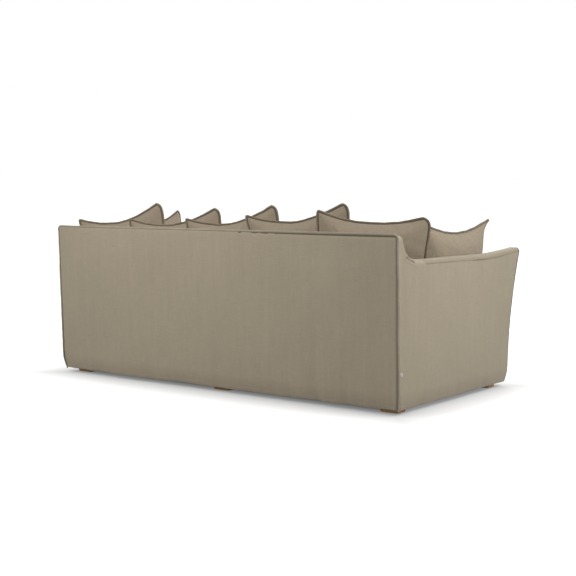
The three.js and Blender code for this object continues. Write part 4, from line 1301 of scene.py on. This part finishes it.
def seat_cushion():
    """Bench seat cushion: a crowned top, a swelling band and a flat underside, with flanged seams.

    Top and underside are one grid each, and rings of the band join their edges.
    """
    lines = [np.linspace(-1, 1, count + 1) for count in (seat_columns, seat_rows)]
    a, b = np.meshgrid(*(lerp(line, np.sin(line * math.pi / 2), seat_bunching) for line in lines))
    px = a * (seat_half - seat_side_draw_in * (1 - b * b) * np.abs(a))
    py = seat_middle_y + b * (seat_depth / 2 - seat_corner_draw_in * a ** seat_corner_power * np.abs(b))
    n = a.size
    top = np.stack([px, py, seat_top(px, py)], -1).reshape(-1, 3)
    foot = np.stack([px, py, np.full_like(px, seat_level)], -1).reshape(-1, 3)
    index = np.arange(n).reshape(a.shape)
    ring = np.concatenate([index[0, :-1], index[:-1, -1], index[-1, :0:-1], index[:0:-1, 0]])
    upper, lower = top[ring], foot[ring]
    ahead = np.roll(lower, -1, 0) - np.roll(lower, 1, 0)
    out = unit(np.stack([ahead[:, 1], -ahead[:, 0], 0 * ahead[:, 0]], -1))
    out *= np.sign(((lower - np.array([0, seat_middle_y, 0])) * out).sum(-1))[:, None]
    level = np.linspace(0, 1, band_rows + 2)[1:-1]
    verts = np.concatenate([top, foot] + [
        lerp(upper, lower, share) + out * seat_band_swell * math.sin(math.pi * share) * band_fullness
        for share in level])
    loops = [ring, *(2 * n + k * len(ring) + np.arange(len(ring)) for k in range(band_rows)), n + ring]
    faces = grid_faces(*a.shape, True) + (np.array(grid_faces(*a.shape)) + n).tolist()
    for above, below in zip(loops, loops[1:]):
        faces += np.stack([above, below, np.roll(below, -1), np.roll(above, -1)], -1).tolist()
    dents = verts.copy()
    dents[:n, 2] += waves(verts[:n, 0], verts[:n, 1], seat_waves, 301) - seat_start_drop
    moved = blown_up("seat", dents, faces, seat_pressure, seat_frames, seat_bending) - dents
    length = np.linalg.norm(moved, axis=-1, keepdims=True)
    verts = dents + moved * np.minimum(1, seat_most_moved / np.maximum(length, 1e-9))
    verts[:, 2] = np.maximum(verts[:, 2], seat_level)
    verts[n:2 * n, 2] = seat_level
    reach = np.array([seat_half + seat_band_swell, seat_depth / 2 + seat_band_swell])
    verts[:, 0] = np.clip(verts[:, 0], -reach[0], reach[0])
    verts[:, 1] = np.clip(verts[:, 1], seat_middle_y - reach[1], seat_middle_y + reach[1])
    # Distances to the seams, which the linen darkens towards as painted shade; the inside stays clear of it.
    seam = np.full(len(verts), inside_seam)
    to_end, to_edge = (1 - np.abs(a)) * seat_half, (1 - np.abs(b)) * seat_depth / 2
    seam[:n] = seam[n:2 * n] = np.minimum(to_end, to_edge).ravel()
    around = run_lengths(lower[:, None, :], 0)[:, 0]
    uv = verts[:, :2].copy()
    for loop, share in zip(loops[1:-1], level):
        seam[loop] = min(share, 1 - share) * seat_edge_thickness
        uv[loop] = np.stack([around, np.full(len(ring), share * seat_edge_thickness)], -1)
    pad = new_object("seat_cushion_pad", verts, faces, uv, seam, shaded_cushion_linen)
    finer(pad)
    declare(pad, "seat_cushion", "seat_cushion")
    for label, line, tilt, seed in (("top", verts[ring], 0.5, 311), ("foot", verts[n + ring], 0.2, 313)):
        rings, loop_uv, loop_seam, stitch = flange_rings(
            line, unit(out + np.array([0, 0, tilt])), unit(np.array([0, 0, 1.0]) - tilt * out),
            seat_flange_width, seat_flange_thickness, seed, True, seat_ruffle)
        rim = swept(f"seat_cushion_{label}_flange", rings, shaded_rim_linen, loop_uv, loop_seam, True, stitch)
        declare(rim, "seat_cushion")


# Small pieces and hidden layers

tab_length = 0.018
tab_thickness = 0.0006
tab_fold_radius = 0.0011
tab_root_inset = 0.001
tab_direction = np.array([-0.62, -0.785])
tab_curl = 0.0016
tab_curl_start = 0.15


def seam_tab():
    """Blank tape folded in two and caught in the near rear corner's seam, standing out from it with a curl.

    The section is a hairpin: out along one layer, round the fold and back along the other.
    """
    low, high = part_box("seam_tab")
    rear_y = high.y - body_shift
    root = np.array([-float(side_reach(rear_y, low.z)), rear_y - tab_root_inset])
    across = np.array([tab_direction[1], -tab_direction[0]])
    turn = np.linspace(0, math.pi, 9)[1:-1]
    along = np.concatenate([np.linspace(0, tab_length, 10), tab_length + tab_fold_radius * np.sin(turn),
                            np.linspace(tab_length, 0, 10)])
    side = np.concatenate([np.full(10, tab_fold_radius), tab_fold_radius * np.cos(turn),
                           np.full(10, -tab_fold_radius)])
    z = np.linspace(low.z, high.z, 14)
    height = (z - low.z) / (high.z - low.z)
    bulge = np.sin(math.pi * (height[:, None] + tab_curl_start))
    curl = tab_curl * (along[None, :] / tab_length) ** 2 * bulge
    place = root + along[None, :, None] * tab_direction + (side[None, :] + curl)[..., None] * across
    points = np.concatenate([place, np.broadcast_to(z[:, None, None], (*place.shape[:2], 1))], -1)
    uv = np.stack([along[None, :] + 0 * curl, z[:, None] + 0 * curl], -1)
    obj = thicken(grid_object("folded_tab", points, (-1, 0, 0), uv, None, tape), tab_thickness)
    declare(obj, FRAME_BODY, "seam_tab")


flat_crease = 0.0006


def flat_cover(name, node, facing, seed, calm, finish):
    """Flat cloth over or under the frame, with seams all round, in place of a frame node."""
    low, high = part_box(node)
    u = shares([0, 0.01, 0.99, 1], [6, 150, 6])[None, :]
    v = shares([0, 0.02, 0.98, 1], [6, 76, 6])[:, None]
    level = high.z if facing > 0 else low.z
    x, y = lerp(low.x, high.x, u), lerp(low.y, high.y, v) - body_shift
    points = np.stack([x + 0 * y, y + 0 * x, level + 0 * x * y], -1)
    panel(name, points, (0, 0, facing), seed, cut("flat", high.x - low.x, high.y - low.y), node,
          sewn="lrtb", hem=False, calm=calm, crease=flat_crease, finish=finish)


def dress_nodes():
    """Gives each frame node that stays its own finish."""
    finishes = {"timber": softwood, "foot_wood": foot_wood, "webbing": webbing, "wadding": wadding,
                "dust_cloth": dust_cloth, "steel": steel, "tab": tape, "linen": linen_deck}
    slots = {row["node"]: row["material_slot"] for row in frame["record"]["subparts"]}
    for node, obj in frame["nodes"].items():
        obj.data.materials.clear()
        obj.data.materials.append(finishes[slots[node]])


# Stage, lamps and camera

# The floor's glow to the camera: this low level under the sofa's foot, rising from shadow_inset inside it to
# full at shadow_reach outside, paints a shadow round the foot.
painted_shadow_glow = 0.12
shadow_inset = 0.12
shadow_reach = 0.36
floor_seen = 0.4
floor_bounce = 0.3
sky_light = 0.5
floor_half = 40
white = (1, 1, 1, 1)


def seen_rays(nodes):
    """One for what the camera sees, directly, in a gloss or through glass, and zero for all other light."""
    path = nodes.add("ShaderNodeLightPath", output="Is Camera Ray")
    return path.through("MAXIMUM", path["Is Glossy Ray"]).through("MAXIMUM", path["Is Transmission Ray"])


def stage():
    """Pale floor that keeps the shadow and reads white to the camera, and a white world behind it.

    To the camera the floor's own glow grows with the distance from the sofa's foot, so that the shadow fades
    out and the floor meets the world without a line. Its low glow under and round the foot is a painted
    shadow, added to the lamps' real one.
    """
    corners = [(-floor_half, -floor_half, 0), (floor_half, -floor_half, 0), (floor_half, floor_half, 0),
               (-floor_half, floor_half, 0)]
    floor = new_object("floor", corners, [[0, 1, 2, 3]])
    material, nodes, finish = new_material("Pale floor")
    seen = seen_rays(nodes)
    grey = lambda level: (level, level, level, 1)
    colour = nodes.mix(seen, grey(floor_bounce), grey(floor_seen))
    finish(colour=colour, roughness=1.0, gloss=0.0)
    where = nodes.add("ShaderNodeSeparateXYZ", {0: nodes.object_place()})
    past_end = where["X"].through("ABSOLUTE") - hem_length / 2
    past_back = where["Y"].through("ABSOLUTE") - hem_depth / 2
    # The glow is lowest under and round the sofa's foot: a painted shadow over the lamps' own.
    glow = past_end.through("MAXIMUM", past_back).mapped(-shadow_inset, shadow_reach, painted_shadow_glow)
    light = nodes.add("ShaderNodeEmission", {"Color": white, "Strength": seen * glow})
    surface = nodes.tree.nodes["Principled BSDF"].outputs[0]
    both = nodes.add("ShaderNodeAddShader", {0: surface, 1: light})
    nodes.fill(nodes.tree.nodes["Material Output"], {0: both})
    floor.data.materials.append(material)
    floor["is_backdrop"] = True

    world = bpy.data.worlds.new("Studio")
    bpy.context.scene.world = world
    world.use_nodes = True
    nodes = Nodes(world.node_tree)
    strength = nodes.add("ShaderNodeMix", {"Factor": seen_rays(nodes), 2: sky_light, 3: 1.0},
                         data_type="FLOAT")
    nodes.fill(world.node_tree.nodes["Background"], {"Color": white, "Strength": strength})


def softbox(name, place, target, size, power):
    """Large square lamp at a place, aimed at a target."""
    data = bpy.data.lights.new(name, "AREA")
    data.shape = "SQUARE"
    data.size = size
    data.energy = power
    lamp = bpy.data.objects.new(name, data)
    lamp.location = place
    lamp.rotation_euler = Vector(np.subtract(target, place).tolist()).to_track_quat("-Z", "Y").to_euler()
    lamp.visible_camera = False
    bpy.context.scene.collection.objects.link(lamp)


def lamps():
    """Large boxes: one off each end, one over the back, one over the front."""
    softbox("Key off the near arm", (-2.7, -0.1, 2.0), (-1.1, 0, 0.5), 1.4, 39)
    softbox("Behind the back", (0.45, 2.5, 2.05), (0.1, 0.55, 0.6), 1.8, 36)
    softbox("Over the front", (0.6, -3.4, 2.4), (0, -0.5, 0.5), 2.4, 80)
    softbox("Off the far arm", (3.6, -0.4, 2.0), (0.9, 0, 0.5), 1.8, 40)


camera_place = (-3.8535, 4.9263, 1.0099)
camera_azimuth_deg = 217.447
camera_pitch_deg = 4.706
camera_lens_mm = 72.324
camera_sensor_mm = 36


def camera():
    """Camera at the photograph's place: behind the sofa, off its near arm, looking slightly down."""
    data = bpy.data.cameras.new("Camera")
    data.lens = camera_lens_mm
    data.sensor_width = camera_sensor_mm
    cam = bpy.data.objects.new("Camera", data)
    cam.location = camera_place
    cam.rotation_euler = (math.pi / 2 - math.radians(camera_pitch_deg), 0, math.radians(camera_azimuth_deg))
    bpy.context.scene.collection.objects.link(cam)
    bpy.context.scene.camera = cam


camera()
bpy.context.scene.view_settings.view_transform = "Standard"
stage()
lamps()
dress_nodes()
outer_back()
inner_back()
front_panel()
for side, sign in (("left", -1), ("right", 1)):
    outer_arm(side, sign)
    inner_arm(side, sign)
    arm_front(side, sign)
    back_gusset(side, sign)
    corner_flange(side, sign)
top_flange()
seam_tab()
flat_cover("deck_panel", "deck_cover", 1, 101, -0.5, linen)
flat_cover("dust_panel", "dust_cover", -1, 103, 0.1, dust_cloth)
all_cushions()
seat_cushion()

[list(corner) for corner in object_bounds()]
